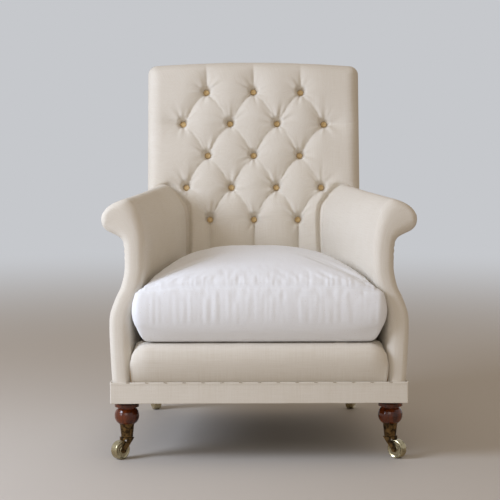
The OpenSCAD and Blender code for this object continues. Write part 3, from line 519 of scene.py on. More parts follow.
@functools.cache
def arm_outlines(t):
    """Outside and inside of an arm at share t of its depth, as (x, z) from foot to tip."""
    waist, base, tip = (lerp(w, back_w, t) / 2 for w in (waist_w, base_w, arm_span))
    thick = lerp(arm_t, arm_back_t, t)
    outside, inside = [], []
    for flare, height in lower_shares:
        x, z = lerp(waist, base, flare), lerp(frame_z, waist_z, height)
        outside.append(Vector((x, z)))
        inside.append(Vector((x - thick, z)))
    for (fo, ho), (fi, hi) in zip(outer_shares, inner_shares):
        outside.append(Vector((lerp(waist, tip, fo), lerp(waist_z, arm_h, ho))))
        inside.append(Vector((lerp(waist - thick, tip, fi), lerp(waist_z, arm_h, hi))))
    inner = [spot - Vector((swell(t, spot.y), 0)) for spot in curve_through(inside, outline_steps)]
    return curve_through(outside, outline_steps), inner


neck = (len(lower_shares) + 2) * outline_steps
print("an arm's outline has", len(arm_outlines(0)[0]), "points on each side")

# %% [markdown]
# ## The buttoned back
# Deep buttoning pulls the cloth down to the buttons, and the fullness between them is folded
# into pleats that run from button to button, so each four buttons hold a pillow. It could be
# simulated, but then the pleats would fall where they like. A pillow has a known shape: low
# and creased along its four folds, and round between. So the height of the cloth is worked
# out from the distance to the two nearest folds. Upholsterers turn each fold downwards, so
# the upper pillow stands over the lower one a little.

# %% Pillows, folds and buttons
button_pitch, row_pitch, rows_of_buttons, outer_button = 130, 89, 5, 1.5
tuft_depth, fold_floor, fold_lip, fold_bow, lower_pinch = 34, 0.56, 1.8, 8, 0.075
fade_beside, fade_above, fade_bow = 60, 70, 50
gathers, gather_depth, gather_reach = 3.2, 8, 34
hollow_from, hollow_to, hollow_extra = 6.5, 17, 1.8
top_row = back_len - 84


def pitch_at(v):
    """The space between buttons at v, a little closer in the lower rows."""
    return button_pitch * (1 - lower_pinch * clamp((top_row - v) / (row_pitch * 4) * 1.25 - 0.25))


def fold_distance(p):
    """0 on a fold, and 1 halfway between two."""
    return abs(p - round(p)) * 2


def pillow(d):
    """How full a pillow is at a distance from its fold: steep beside it, then round."""
    return (1 - (1 - d) ** 2) ** 0.8


def overlap(offset):
    """1 on the upper side of a fold, where its cloth lies on top, and fading away from it."""
    return math.exp(-offset / 0.07) if offset >= 0 else 0.0


def slack(fold, b, least, most):
    """How far a fold has opened, which differs from fold to fold and along each of them."""
    return lerp(least, most, clamp(0.5 + 1.6 * noise.noise(Vector((fold * 5.3, b * 0.9, 7 + most)))))


buttons = []
for row in range(rows_of_buttons):
    v = top_row - row_pitch * (rows_of_buttons - 1 - row)
    half = 1 if row % 2 == 0 else outer_button
    buttons += [((k - half) * pitch_at(v), v) for k in range(int(2 * half) + 1)]


def tuft(u, v):
    """How far the cloth lies below the tops of the pillows, in mm."""
    a = clamp(u / pitch_at(v), -outer_button, outer_button)
    b = clamp((v - top_row) / row_pitch + rows_of_buttons - 1, 0, rows_of_buttons - 1)
    falling, rising = a + b / 2, a - b / 2
    p = lerp(pillow(fold_distance(falling)), 1, slack(round(falling), b, 0.3, 0.8))
    q = lerp(pillow(fold_distance(rising)), 1, slack(round(rising), b, 0.0, 0.25))
    either = p + q - p * q
    puff = (1 - fold_floor) * p * q / max(either, 0.001) + fold_floor * either
    beside = clamp((abs(u / pitch_at(v)) - outer_button) * button_pitch / fade_beside)
    above = clamp((v - top_row) / fade_above)
    depth = tuft_depth * (1 - puff) * (1 - 0.75 * beside) * (1 - 0.7 * above)
    turned_down = overlap(falling - round(falling)) * q + overlap(round(rising) - rising) * p
    depth -= fold_lip * turned_down * (1 - beside) * (1 - above)
    near_u, near_v = min(buttons, key=lambda spot: (spot[0] - u) ** 2 + (spot[1] - v) ** 2)
    far = math.hypot(u - near_u, v - near_v)
    way = Vector((u - near_u, v - near_v, 0)) * (gathers / max(far, 0.1))
    pull = noise.noise(way + Vector((near_u, near_v, near_u + near_v)))
    pull *= math.exp(-(far / gather_reach) ** 2)
    depth += gather_depth * pull * clamp(far / 16)
    return lerp(tuft_depth + hollow_extra, depth, rise(far, hollow_from, hollow_to))


def bowed(u, v):
    """How far a place moves up, so that the folds bow over the pillows below them."""
    a = clamp(u / pitch_at(v), -outer_button, outer_button)
    b = clamp((v - top_row) / row_pitch + rows_of_buttons - 1, 0, rows_of_buttons - 1)
    held = (math.cos(math.pi * (a + b / 2)) * math.cos(math.pi * (a - b / 2))) ** 2
    inside = 1 - clamp((v - top_row) / fade_bow)
    inside *= 1 - clamp((abs(u) - outer_button * pitch_at(v)) / fade_bow)
    return fold_bow * (1 - held) * inside


print(len(buttons), "buttons")

# %% [markdown]
# The grid of the back follows the buttons. Its columns and rows are shares of the spaces
# between them, so a fold always runs corner to corner through the grid, and each face there
# is split along its fold. The cloth then goes round the sides and over the top to the rear.
# Beside the arms it is drawn in, which gives the dark line that a photograph shows there.

# %% Form of the back cover
half_back = back_w / 2
rear_round, rear_proud, cap_end, arm_end = 6, 0.8, 40, 2.6
draw_depth, draw_reach, draw_from = 13, 5.5, 140
tuck, outer_cloth_top, arm_top = 8, (541, 551), (591, 607)


def half_width(v):
    """Half the width at v, less where the upper corners are rounded."""
    s = clamp((v - back_len + corner_round) / corner_round)
    return half_back - corner_round * (1 - math.sqrt(1 - s * s))


def crown_drop(u, v):
    """How far the crown falls away towards its sides."""
    return back_crown * (2 * u / back_w) ** 2 * (max(0, v) / back_len) ** 4


def drawn_in(u, v):
    """How far the cloth is pulled back where it meets an arm, so that a dark line is left."""
    z = bend_z + back_t * math.sin(recline) + v * math.cos(recline)
    if abs(u) < draw_from or z > arm_h + 15:
        return 0
    t = (bend_y - back_t * math.cos(recline) + v * math.sin(recline)) / bend_y
    line = arm_outlines(round(clamp(t), 2))[1]
    spot = Vector((abs(u), z))
    away = min(
        (spot - a.lerp(b, clamp((spot - a).dot(b - a) / (b - a).length_squared))).length
        for a, b in zip(line, line[1:])
    )
    return draw_depth * math.exp(-((away / draw_reach) ** 2))


def stuffing(u, v):
    """How far the cloth stands in front of the posts."""
    beyond_u, beyond_v = abs(u) - (half_back - corner_round), v - (back_len - corner_round)
    from_edge = corner_round - math.hypot(max(beyond_u, 0), max(beyond_v, 0))
    from_edge -= min(max(beyond_u, beyond_v), 0)
    fade = clamp(from_edge / pad_round)
    drop = pad_round * (1 - math.sqrt(1 - (1 - fade) ** 2))
    sag = 1.25 * noise.noise(Vector((u / 90, v / 90, 3)))
    return back_t - drop - (tuft(u, v) - sag) * (0.12 + 0.88 * fade) - drawn_in(u, v)


def tucked(z, forward):
    """How far the side is drawn in where an arm or its outer cloth covers it."""
    under_arm_cloth = 1 - rise(z, *outer_cloth_top)
    beside_arm = (1 - rise(z, *arm_top)) * (1 if forward > arm_end - 0.1 else 0)
    return tuck * max(under_arm_cloth, beside_arm)


print("half the back is", round(half_width(0)), "mm wide")

# %% Rows of the back cover
steps_between, outer_steps, round_steps, side_steps, cap_steps = 40, 18, 8, 5, 10
cap_puff, cap_shares = 4, (0.92, 0.8, 0.65, 0.5, 0.35, 0.2, 0.1, 0)


def quarter(k, steps):
    """The share of a quarter round that has risen after k of its steps."""
    return math.sin(math.radians(90 * k / steps))


def columns_at(v, w):
    """Places across the front: shares of the buttons' spaces, then out to the edges."""
    inner = outer_button * pitch_at(v)
    flat = w - pad_round
    count = int(outer_button * steps_between)
    grid = [k / steps_between * pitch_at(v) for k in range(-count, count + 1)]
    half = [lerp(inner, flat, k / outer_steps) for k in range(1, outer_steps + 1)]
    half += [flat + pad_round * quarter(k, round_steps) for k in range(1, round_steps + 1)]
    return [-u for u in reversed(half)] + grid + half


def back_station(v, shrink=1.0, puff=0.0):
    """One row round the back at v; shrink below 1 draws it in over the top."""
    w = half_width(v)
    row = []
    front = [(u, stuffing(u, v)) for u in columns_at(v, w)]
    edge_front = front[0][1]
    over = clamp((v - back_len + rear_round) / rear_round)
    rear = -post_d - rear_proud + rear_round * (1 - math.sqrt(1 - over * over))
    side = [lerp(rear, 0, k / side_steps) for k in range(side_steps)] + [arm_end - 0.8, arm_end]
    side += [lerp(arm_end, edge_front, k / side_steps) for k in range(1, side_steps)]
    loop = [(-w, f) for f in side] + front + [(w, f) for f in reversed(side)]
    loop += [(u, rear) for u, _ in reversed(front[1:-1])]
    narrower = 1 - cap_end * (1 - shrink) / w
    for u, forward in loop:
        u *= narrower
        up = v - crown_drop(u, v) + puff * (1 - (u / w) ** 4)
        if forward > back_t / 2 and abs(u) < w - pad_round:
            up += bowed(u, v)
        z = bend_z + forward * math.sin(recline) + up * math.cos(recline)
        inward = tucked(z, forward) if abs(u) > w - 0.01 else 0
        row.append(leaning(u - math.copysign(inward, u), forward * shrink, up))
    return row


row_step = 2 * row_pitch / steps_between
lowest = top_row - row_pitch * (rows_of_buttons - 1)
rows_up = int((back_len - pad_round - lowest) / row_step)
rows_down = int((lowest + 34) / row_step)
heights = [lowest + k * row_step for k in range(-rows_down, rows_up + 1)]
heights += [back_len - pad_round + pad_round * quarter(k, cap_steps) for k in range(1, cap_steps + 1)]
stations = [back_station(v) for v in heights]
stations += [back_station(back_len, k, cap_puff * (1 - k * k) ** 2) for k in cap_shares]
middle_column = 2 * side_steps + 1 + len(columns_at(lowest, half_back)) // 2
print("back:", len(stations), "rows of", len(stations[0]), "points")

# %% Lay the back cover


def split_along_folds(faces, spots):
    """Cuts each face between the buttons in two, along the way of the fold nearest to it."""
    reach = outer_button * steps_between
    for face in faces:
        cell = {spots[vert]: vert for vert in face.verts}
        i, j = min(cell)
        column, row = i - middle_column, j - rows_down
        if not (-reach <= column < reach and 0 <= row < steps_between // 2 * (rows_of_buttons - 1)):
            continue
        a, b = (column + 0.5) / steps_between, (row + 0.5) * 2 / steps_between
        if fold_distance(a + b / 2) < fold_distance(a - b / 2):
            ends = cell[i + 1, j], cell[i, j + 1]
        else:
            ends = cell[i, j], cell[i + 1, j + 1]
        bmesh.utils.face_split(face, *ends)


bm = bmesh.new()
split_along_folds(*lay(bm, stations, close=True))
close_up(bm)
close_ends(bm)
back_cover = name_map(finish_piece("buttoned_back", bm, calico))
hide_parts("back_pad")
print("buttoned back:", len(back_cover.data.polygons), "faces")

# %% [markdown]
# ## Buttons
# A covered button is a small domed disc with its cloth gathered behind it. It is round, so
# half of its outline is drawn once and spun about its axis. Seventeen of them stand where the
# folds meet, each a little below the pillows round it.

# %% Spin an outline, and the covered buttons


def turned(bm, outline, steps):
    """Spins an outline of (radius, height) points in mm about Z, and gives the new points."""
    before = set(bm.verts)
    corners = [bm.verts.new((r * MM, 0, z * MM)) for r, z in outline]
    edges = [bm.edges.new(pair) for pair in zip(corners, corners[1:])]
    bmesh.ops.spin(
        bm, geom=corners + edges, axis=(0, 0, 1), cent=(0, 0, 0), angle=math.tau,
        steps=steps, use_merge=True,
    )
    made = [vert for vert in bm.verts if vert not in before]
    bmesh.ops.remove_doubles(bm, verts=made, dist=0.001 * MM)
    return [vert for vert in bm.verts if vert not in before]


button_outline = [
    (0, 7.2), (2.4, 7.0), (4.6, 6.3), (6.4, 5.1), (7.6, 3.5), (8.0, 2.1), (7.6, 0.8), (6.4, -0.4),
    (0, -1),
]
bm = bmesh.new()
for u, v in buttons:
    for vert in turned(bm, button_outline, 24):
        across, up, out = (c / MM for c in vert.co)
        vert.co = leaning(u + across, back_t - tuft_depth + out, v - crown_drop(u, v) + up)
bmesh.ops.recalc_face_normals(bm, faces=bm.faces)
button_piece = finish_piece("covered_buttons", bm, button_cotton)
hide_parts("back_buttons")
print("buttons:", len(button_piece.data.polygons), "faces")

# %% [markdown]
# ## Arms
# The front of the arm is its show: the cloth rolls over the edge of the board and lies flat
# on it, and where the roll springs from the waist it has to be eased in, which leaves small
# level puckers. They are a gentle wave in the cloth, a few millimetres apart, that fades away.
# Pairs of points across the arm are joined into rings, and the rings from front to back carry
# the cloth. They stand closer near the back, where the inside curls away from the seat.

# %% Rings round an arm
front_round, nose_round, hessian_gap = 20, 24, 3
pucker_heights, pucker_wave, pucker_out, pucker_forward = (476, 546), 2.3, 1.1, 0.9
curl, curl_reach = 13, 20


def arm_end_y(z):
    """Where the arm's cloth ends, just in front of the hessian on the posts."""
    return post_y(z) - hessian_gap / math.cos(recline)


def crease(x, y, z):
    """How far an arm's inside curls away from the seat just where it meets the back."""
    v = (z - bend_z - back_t * math.sin(recline)) / math.cos(recline)
    back_front = bend_y + v * math.sin(recline) - stuffing(x, v) * math.cos(recline)
    return curl * (1 - clamp((back_front - y) / curl_reach)) ** 2


def arm_ring(side, t, share=1.0, forward=0.0):
    """One ring round an arm. share draws it in towards its middle line, as on the front."""
    outside, inside = arm_outlines(t)
    ring = []
    for line, outer in ((outside, True), (inside, False)):
        points = []
        for k, point in enumerate(line):
            middle = (outside[k] + inside[k]) / 2
            middle.x = min(middle.x, lerp(arm_span, back_w, t) / 2 - nose_round)
            x, z = middle + (point - middle) * share
            y = t * bend_y + max(0, t - 0.5) * 2 * (arm_end_y(z) - bend_y) - forward
            eased = hump(z, *pucker_heights) * (1 - rise(y, 6, 40)) * rise(share, 0.5, 1)
            eased *= math.sin(z / pucker_wave) * (1 if outer else 0)
            x += pucker_out * eased
            y += pucker_forward * eased * (1 - rise(share, 0.85, 1))
            soft = noise.noise(Vector((x / 55, y / 70, z / 60))) * 1.5 * rise(y, 20, 80)
            x += soft + crease(x, y, z) if not outer else 0
            points.append(place(side * x, y, z))
        ring += points if outer else list(reversed(points))
    return ring


print("an arm's cloth ends", round(arm_end_y(arm_h)), "mm behind its front")

# %% The arm covers
front_shares = [0.001, 0.12, 0.25, 0.38, 0.5, 0.6, 0.68, 0.76, 0.83, 0.89, 0.935, 0.97, 0.99]
flat_share, near_back = 0.3, 0.8
open_rings, close_rings = 56, 36


def arm_cover(side, word):
    """The cloth of an arm: over its front, along it, and turned in behind."""
    rings = []
    for share in front_shares:
        bend = clamp((share - flat_share) / (1 - flat_share))
        y = front_round * (1 - math.sqrt(1 - bend**2))
        rings.append(arm_ring(side, y / bend_y, share, 1.5 * (1 - share)))
    first = front_round / bend_y
    rings += [arm_ring(side, lerp(first, near_back, k / open_rings)) for k in range(open_rings)]
    rings += [arm_ring(side, lerp(near_back, 1, k / close_rings)) for k in range(close_rings + 1)]
    rings.append(arm_ring(side, 1, 0.5, -4))
    bm = bmesh.new()
    lay(bm, rings, close=True)
    close_up(bm)
    close_ends(bm)
    cover = name_map(finish_piece("arm_cover_" + word, bm, calico))
    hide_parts("arm_pad_" + word, "arm_front_" + word)
    return cover


for side, word in both_sides:
    cover = arm_cover(side, word)
    print(cover.name, len(cover.data.polygons), "faces")

# %% [markdown]
# ## Cloth on the outside
# The outside of an arm and of the back are single sheets, pulled tight from edge to edge and
# sewn along their folds, so they are flat where the inside is round. Each is laid just proud
# of the form behind it, and given the thickness of cotton over a little wadding.

# %% Outside arms and outside back
sheet_t, sheet_proud, panel_from, panel_steps = 1.6, 1.1, 47, 60
seat_middle = place(0, 300, 350)


def thicken(piece, mm):
    """Gives a laid sheet its thickness, inwards from its outer face."""
    solid = piece.modifiers.new("thickness", "SOLIDIFY")
    solid.thickness, solid.offset = mm * MM, -1
    return piece


def face_out(bm):
    """Turns a laid sheet so that its faces look away from the middle of the seat."""
    bm.normal_update()
    ways = [(face.calc_center_median() - seat_middle).dot(face.normal) for face in bm.faces]
    if sum(way * face.calc_area() for way, face in zip(ways, bm.faces)) < 0:
        bmesh.ops.reverse_faces(bm, faces=bm.faces)


def sheet_piece(name, rows, node):
    """A stretched sheet of calico, laid over rows of points."""
    bm = bmesh.new()
    lay(bm, rows)
    face_out(bm)
    piece = thicken(name_map(finish_piece(name, bm, calico)), sheet_t)
    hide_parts(node)
    return piece


def outside_arm(side, word):
    """The sheet on the outside of an arm, tight along its edges and a little slack between."""
    rows = []
    for k in range(panel_steps + 1):
        share = k / panel_steps
        edge = min(share, 1 - share) * panel_steps
        row = []
        for j in range(neck + 1):
            z = arm_outlines(0)[0][j].y
            y = lerp(panel_from, post_y(z) + post_d + 0.9, share)
            x = arm_outlines(round(clamp(y / bend_y), 3))[0][j].x + sheet_proud
            x += 0.8 * noise.noise(Vector((y / 80, z / 90, 7 * side))) * clamp(edge / 8)
            x -= 1.4 * (1 - clamp(edge / 1.5))
            row.append(place(side * x, y, z))
        rows.append(row)
    return sheet_piece(
        "outside_arm_" + word, rows, "outer_arm_" + word
    )


for side, word in both_sides:
    piece = outside_arm(side, word)
    print(piece.name, len(piece.data.polygons), "faces")

apron_top = frame_z - cloth_t + apron_h
back_rows, panel_top = 80, back_len - 8
bend = (post_d + 2) * math.tan(recline / 2)
rows = []
for k in range(back_rows + 1):
    v = lerp(apron_top - bend_z, panel_top, k / back_rows)
    row = []
    for j in range(panel_steps + 1):
        u = (half_width(v) - 0.5) * lerp(-1, 1, j / panel_steps)
        edge = clamp(min(j, panel_steps - j) / 2) * clamp((back_rows - k) / 1.5)
        loose = 1.2 * noise.noise(Vector((u / 110, v / 120, 5))) * edge
        behind = post_d + 1.2 + 1.4 * edge + loose
        if v > -bend:
            up = lerp(bend, panel_top, (v + bend) / (panel_top + bend))
            row.append(leaning(u, -behind, up - crown_drop(u, v)))
        else:
            row.append(place(u, bend_y + behind, bend_z + v))
    rows.append(row)
outside_back = sheet_piece("outside_back", rows, "outer_back")
print(outside_back.name, len(outside_back.data.polygons), "faces")

# %% [markdown]
# ## The seat's platform
# Under the cushion is a stuffed platform with a firm roll along its front edge, over the rail.
# Its cloth is pulled round the two ends of the roll and pleated there. The cushion hides most
# of it, but not when it is taken out, so the platform goes all the way back.

# %% Platform and front roll
deck_z, deck_fall, deck_foot = 290, math.radians(1.8), apron_top - 5
roll_bulge, roll_corner, rear_corner, roll_d = 21, 48, 14, 55
roll_shares = [(0, 0), (0, 0.055), (0.22, 0.12), (0.45, 0.2), (0.68, 0.31), (0.86, 0.43),
               (0.97, 0.55), (1, 0.66), (0.93, 0.77), (0.75, 0.87), (0.4, 0.95), (-0.3, 1)]
platform_columns, deck_rows = 120, 60


def inside_x(y, z):
    """Inside face of an arm at a depth and a height up to its waist."""
    t = clamp(y / bend_y)
    height = clamp((z - frame_z) / (waist_z - frame_z))
    flare = lower_shares[-1][0]
    for (f0, h0), (f1, h1) in zip(lower_shares, lower_shares[1:]):
        if h0 <= height <= h1:
            flare = lerp(f0, f1, (height - h0) / (h1 - h0))
    outside = lerp(lerp(waist_w, back_w, t), lerp(base_w, back_w, t), flare) / 2
    return outside - lerp(arm_t, arm_back_t, t) - swell(t, z)


def deck_top(y):
    """The height of the deck, which falls a little towards the back."""
    return deck_z - max(0, y) * math.tan(deck_fall)


def platform_row(share, height_share, y, z):
    """One row across the platform, rounded down at its two ends."""
    row = []
    limit = inside_x(max(0, y), z) - 1
    corner = lerp(roll_corner, rear_corner, rise(y, 0, roll_d))
    for j in range(platform_columns + 1):
        x = lerp(-limit, limit, j / platform_columns)
        end = clamp((abs(x) - (limit - corner)) / corner)
        drop = corner * (1 - math.sqrt(max(0, 1 - end**2))) * height_share
        forward = roll_bulge * share * lerp(1, 0.4, end**2)
        pleat = math.sin((limit - abs(x)) / 1.7) * hump(limit - abs(x), 2, 26) * 0.9
        wave = 0.7 * noise.noise(Vector((x / 70, y / 60, z / 30)))
        front = 1 if y < 1 else 0
        row.append(place(x, y - forward - (pleat + wave) * front * height_share, z - drop))
    return row


rows = [platform_row(0, 0, 20, apron_top + 0.4)]
fine = curve_through([Vector((s, h)) for s, h in roll_shares], 4)
rows += [platform_row(s, clamp(h), 0, lerp(deck_foot, deck_z, h)) for s, h in fine]
deck_end = bend_y - hessian_gap
depths = [lerp(6, deck_end, (k / deck_rows) ** 1.3) for k in range(deck_rows + 1)]
rows += [platform_row(0, 1, y, deck_top(y)) for y in depths]
rows.append(platform_row(0, 0, deck_end, deck_foot))
bm = bmesh.new()
lay(bm, rows)
close_up(bm)
close_ends(bm)
platform = name_map(finish_piece("seat_platform", bm, calico))
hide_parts("seat_deck")
print(platform.name, len(platform.data.polygons), "faces")

# %% [markdown]
# ## The cushion
# A feather cushion in a boxed case: two panels joined by a border, with a seam along each
# edge. It fills the room between the arms, and in front of them it spreads to its full width.
# The case is cut here, as its plan at each seam and then three grids of cloth: the two panels
# and the border between them.

# %% Outline of the cushion
cushion_front, cushion_back = -30, bend_y - back_t - 1.6
border_bulge, fit, front_half_w = 13, 4, 307
low_seam, high_seam, crown_rise = 318, 430, 54
corner_droop, droop_reach, corner_lift, lift_reach = 13, 75, 15, 52
across_steps, deep_steps, border_steps = 92, 84, 16


def side_limit(y, z):
    """Half the room between the arms at a place, as far forward as their fronts."""
    return min(inside_x(max(0, y), min(z, waist_z)) - fit, front_half_w)


def corner_arc(corner, before, after, radius):
    """Eleven points round a corner, the sixth in its middle."""
    a = corner + (before - corner).normalized() * radius
    b = corner + (after - corner).normalized() * radius
    return [a.lerp(corner, n / 10).lerp(corner.lerp(b, n / 10), n / 10) for n in range(11)]


def spread(path, count):
    """Points at so many even steps along a path."""
    lengths = [0.0]
    for a, b in zip(path, path[1:]):
        lengths.append(lengths[-1] + (b - a).length)
    out, k = [], 0
    for n in range(count + 1):
        want = lengths[-1] * n / count
        while k < len(path) - 2 and lengths[k + 1] < want:
            k += 1
        out.append(path[k].lerp(path[k + 1], (want - lengths[k]) / (lengths[k + 1] - lengths[k])))
    return out


def seam_plan(z):
    """Front, right, back and left side of a seam at height z, from above."""
    wide, front = front_half_w - border_bulge, cushion_front + border_bulge
    between_arms = min(side_limit(5, z), wide)
    narrow = side_limit(cushion_back, z)
    near = corner_arc(Vector((wide, front)), Vector((0, front)), Vector((wide, 0)), -front - 3)
    beside = Vector((between_arms, 5))
    far = corner_arc(Vector((narrow, cushion_back)), beside, Vector((0, cushion_back)), 40)
    right = spread(near[5:] + [beside] + far[:6], deep_steps)
    mirrored = [Vector((-p.x, p.y)) for p in reversed(right)]
    front_side = spread([Vector((-p.x, p.y)) for p in reversed(near[:6])] + near[:6], across_steps)
    back_side = spread(far[5:] + [Vector((-p.x, p.y)) for p in reversed(far[5:])], across_steps)
    return front_side, right, back_side, mirrored


def near_corner(x, y, reach):
    """1 at the two front corners, fading over so many mm."""
    return math.exp(-((math.hypot(abs(x) - front_half_w, y - cushion_front) / reach) ** 2))


def droop(x, y):
    """How far the upper seam hangs down at the two front corners."""
    return corner_droop * near_corner(x, y, droop_reach)


def lift(x, y):
    """How far the lower seam rises at the two front corners, where the feathers round them."""
    return corner_lift * near_corner(x, y, lift_reach)


def edge_of(sides):
    """All sides as one ring, without the doubled corners."""
    return [point for side in sides for point in side[:-1]]


low_plan, high_plan = seam_plan(low_seam), seam_plan(high_seam)
print("cushion: the seams have", len(edge_of(high_plan)), "points")

# %% [markdown]
# The panels are stretched between the four sides of their seam, each point a blend of the
# points across from it. The upper panel is crowned by the feathers, and the lower one lies on
# the platform.

# %% Panels and border


def panel(sides, height):
    """A grid of points within four sides; height takes a place and how far in it is, both ways."""
    front, right, back, left = sides
    back, left = list(reversed(back)), list(reversed(left))
    rows = []
    for j in range(deep_steps + 1):
        f = j / deep_steps
        row = []
        for i in range(across_steps + 1):
            e = i / across_steps
            spot = front[i].lerp(back[i], f) + left[j].lerp(right[j], e)
            spot -= front[0].lerp(front[-1], e).lerp(back[0].lerp(back[-1], e), f)
            z = height(spot.x, spot.y, 1 - abs(2 * e - 1), 1 - abs(2 * f - 1))
            row.append(place(spot.x, spot.y, z))
        rows.append(row)
    return rows


def crowned(x, y, e, f):
    """The upper panel's height: full nearly to its seam, with soft hollows."""
    full = ((1 - (1 - e) ** 3.3) * (1 - (1 - f) ** 2.4)) ** 0.5
    hollow = 4 * noise.noise(Vector((x / 130, y / 120, 4)))
    seed = 0.7 * noise.noise(Vector((x / 9, y / 9, 1)))
    return high_seam - droop(x, y) + crown_rise * full + (hollow + seed) * min(1, 6 * e, 6 * f)


def lying(x, y, e, f):
    """The lower panel's height: flat on the deck, and curved up to its seam."""
    cell_mm, edge_mm = 6.6, 13
    away = min(e * across_steps, f * deep_steps) / 2 * cell_mm
    floor_z = deck_top(y) + 1.0
    return floor_z + (low_seam + lift(x, y) - floor_z) * math.exp(-((away / edge_mm) ** 1.5))


def border_row(t):
    """One row of the border, between the lower seam at 0 and the upper one at 1."""
    low, high = edge_of(low_plan), edge_of(high_plan)
    row = []
    for k, (a, b) in enumerate(zip(low, high)):
        z = lerp(low_seam, high_seam, t)
        spot = a.lerp(b, t)
        way = (high[(k + 1) % len(high)] - high[k - 1]).normalized()
        spot += Vector((way.y, -way.x)) * border_bulge * math.sin(math.pi * t) ** 0.7
        if spot.y > -2:
            limit = side_limit(spot.y, z)
            spot.x = clamp(spot.x, -limit, limit)
        z += (1 - t) ** 2 * lift(a.x, a.y) - t**2 * droop(b.x, b.y)
        row.append(place(spot.x, min(spot.y, cushion_back), z))
    return row


bm = bmesh.new()
lay(bm, panel(low_plan, lying))
lay(bm, [border_row(k / border_steps) for k in range(border_steps + 1)], close=True)
lay(bm, panel(high_plan, crowned))
close_up(bm, 0.4)
cushion = name_map(finish_piece("feather_cushion", bm, cambric, "cushion"))
print(cushion.name, len(cushion.data.polygons), "faces")

# %% [markdown]
# The feathers press outwards and the cloth is cut a little full, so it gathers beside the
# seams, which hold. Such ripples come out best from a cloth simulation: the seams, the lower
# panel and the border between the arms are pinned, the case is cut 1.6% fuller beside its upper
# seam than its form needs, and pressure fills it over twenty frames. No point may move further
# than the cap.

# %% Fill the case with feathers
cloth_frames, cap_mm = 20, 16
fullness, feather_pressure = 0.016, 4.0
full_below, full_inside = 14, 17
behind_front, arm_gap = 0.6, 2


def from_seam(co):
    """How far below the upper seam a place is, how far inside it, and how far along it, in mm."""
    x, y = co.x / MM, (co.y - arm_front_plane) / MM
    down = high_seam - droop(x, y) - co.z / MM
    from_front = y - cushion_front - border_bulge
    from_side = side_limit(y, high_seam) - abs(x)
    inside = max(0, min(from_front, from_side, cushion_back - y))
    return down, inside, x if from_front < from_side else y


def plainness(co):
    """0 beside the upper seam, and rising to 1 away from it."""
    down, inside, _ = from_seam(co)
    return 1 - math.exp(-down / full_below if down > 0 else -inside / full_inside)


def fill_case(piece):
    """Simulates the case under pressure and keeps the result as its shape."""
    held, plain = (piece.vertex_groups.new(name=name) for name in ("held", "plain"))
    for vert in piece.data.vertices:
        plain.add([vert.index], plainness(vert.co), "REPLACE")
        y, z = (vert.co.y - arm_front_plane) / MM, vert.co.z / MM
        on_seam = abs(z - high_seam + droop(vert.co.x / MM, y)) < 0.5
        low = low_seam + lift(vert.co.x / MM, y) + 0.4
        if z < low or on_seam or (y > 3 and z < high_seam):
            held.add([vert.index], 1.0, "REPLACE")
    cloth = piece.modifiers.new("feathers", "CLOTH")
    settings = cloth.settings
    settings.quality, settings.mass, settings.air_damping = 6, 0.25, 2.0
    settings.tension_stiffness = settings.compression_stiffness = 20
    settings.shear_stiffness, settings.bending_stiffness = 6, 0.8
    settings.use_pressure, settings.uniform_pressure_force = True, feather_pressure
    settings.shrink_min, settings.shrink_max = -fullness, 0.0
    settings.vertex_group_shrink = plain.name
    settings.effector_weights.gravity = 0
    settings.vertex_group_mass = held.name
    cloth.point_cache.frame_end = cloth_frames
    for frame_number in range(1, cloth_frames + 1):
        bpy.context.scene.frame_set(frame_number)
    shown = piece.evaluated_get(bpy.context.evaluated_depsgraph_get())
    moves = [b.co - a.co for a, b in zip(piece.data.vertices, shown.data.vertices)]
    piece.modifiers.remove(cloth)
    bpy.context.scene.frame_set(1)
    just_behind = arm_front_plane - behind_front * MM
    for vert, move in zip(piece.data.vertices, moves):
        if move.length > cap_mm * MM:
            move = move.normalized() * cap_mm * MM
        vert.co += move
        # What swells out in front of an arm stays in front of it.
        if just_behind < vert.co.y < arm_front_plane + 4 * MM:
            if abs(vert.co.x) > side_limit(0, vert.co.z / MM) * MM + arm_gap * MM:
                vert.co.y = just_behind
    return max(move.length for move in moves) / MM


print("cloth moved up to", round(fill_case(cushion), 1), "mm")

# %% [markdown]
# The cloth beside a seam is drawn into short folds a few millimetres apart, finer than the
# simulation's grid. So the filled case is subdivided once, and its points move in or out along
# their normals: fine gathers on both sides of the upper seam, longer folds down the border,
# and a nip at the seam itself, where the thread pulls the cloth in.

# %% Fine gathers at the seam
gather_mm, fold_mm, nip, nip_reach = 5.5, 10, 3.4, 3.4


def gather(co):
    """How far the cloth stands out beside the upper seam, in mm."""
    down, inside, along = from_seam(co)
    on_border = down > 0
    far = down if on_border else inside
    height, reach = (0.9, 12) if on_border else (2.6, 15)
    out = noise.noise(Vector((along / gather_mm, far / 40, 2 if on_border else 1)))
    out *= height * math.exp(-far / reach) * rise(far, 0, 4)
    if on_border:
        folds = noise.noise(Vector((along / fold_mm, far / 110, 5)))
        out += 0.9 * folds * rise(far, 4, 24) * (1 - rise(far, 70, 100))
    return out - nip * math.exp(-((far / nip_reach) ** 2))


finer = cushion.modifiers.new("finer cloth", "SUBSURF")
finer.levels = finer.render_levels = 1
shown = cushion.evaluated_get(bpy.context.evaluated_depsgraph_get())
fine_cloth = bpy.data.meshes.new_from_object(shown)
cushion.modifiers.clear()
cushion.data = fine_cloth
moves = [vert.normal * gather(vert.co) * MM for vert in fine_cloth.vertices]
for vert, move in zip(fine_cloth.vertices, moves):
    if vert.co.z > (low_seam + 20) * MM:
        vert.co += move
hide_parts("seat_cushion")
print(cushion.name, len(cushion.data.polygons), "faces in fine cloth")

# %% [markdown]
# ## The band round the base
# A strip of calico is tacked round the foot of the chair, over the raw edges of all the other
# covers. Along the front its upper edge is turned in and held by long linen stitches about
# 45 mm apart, and each stitch draws the edge in a little.

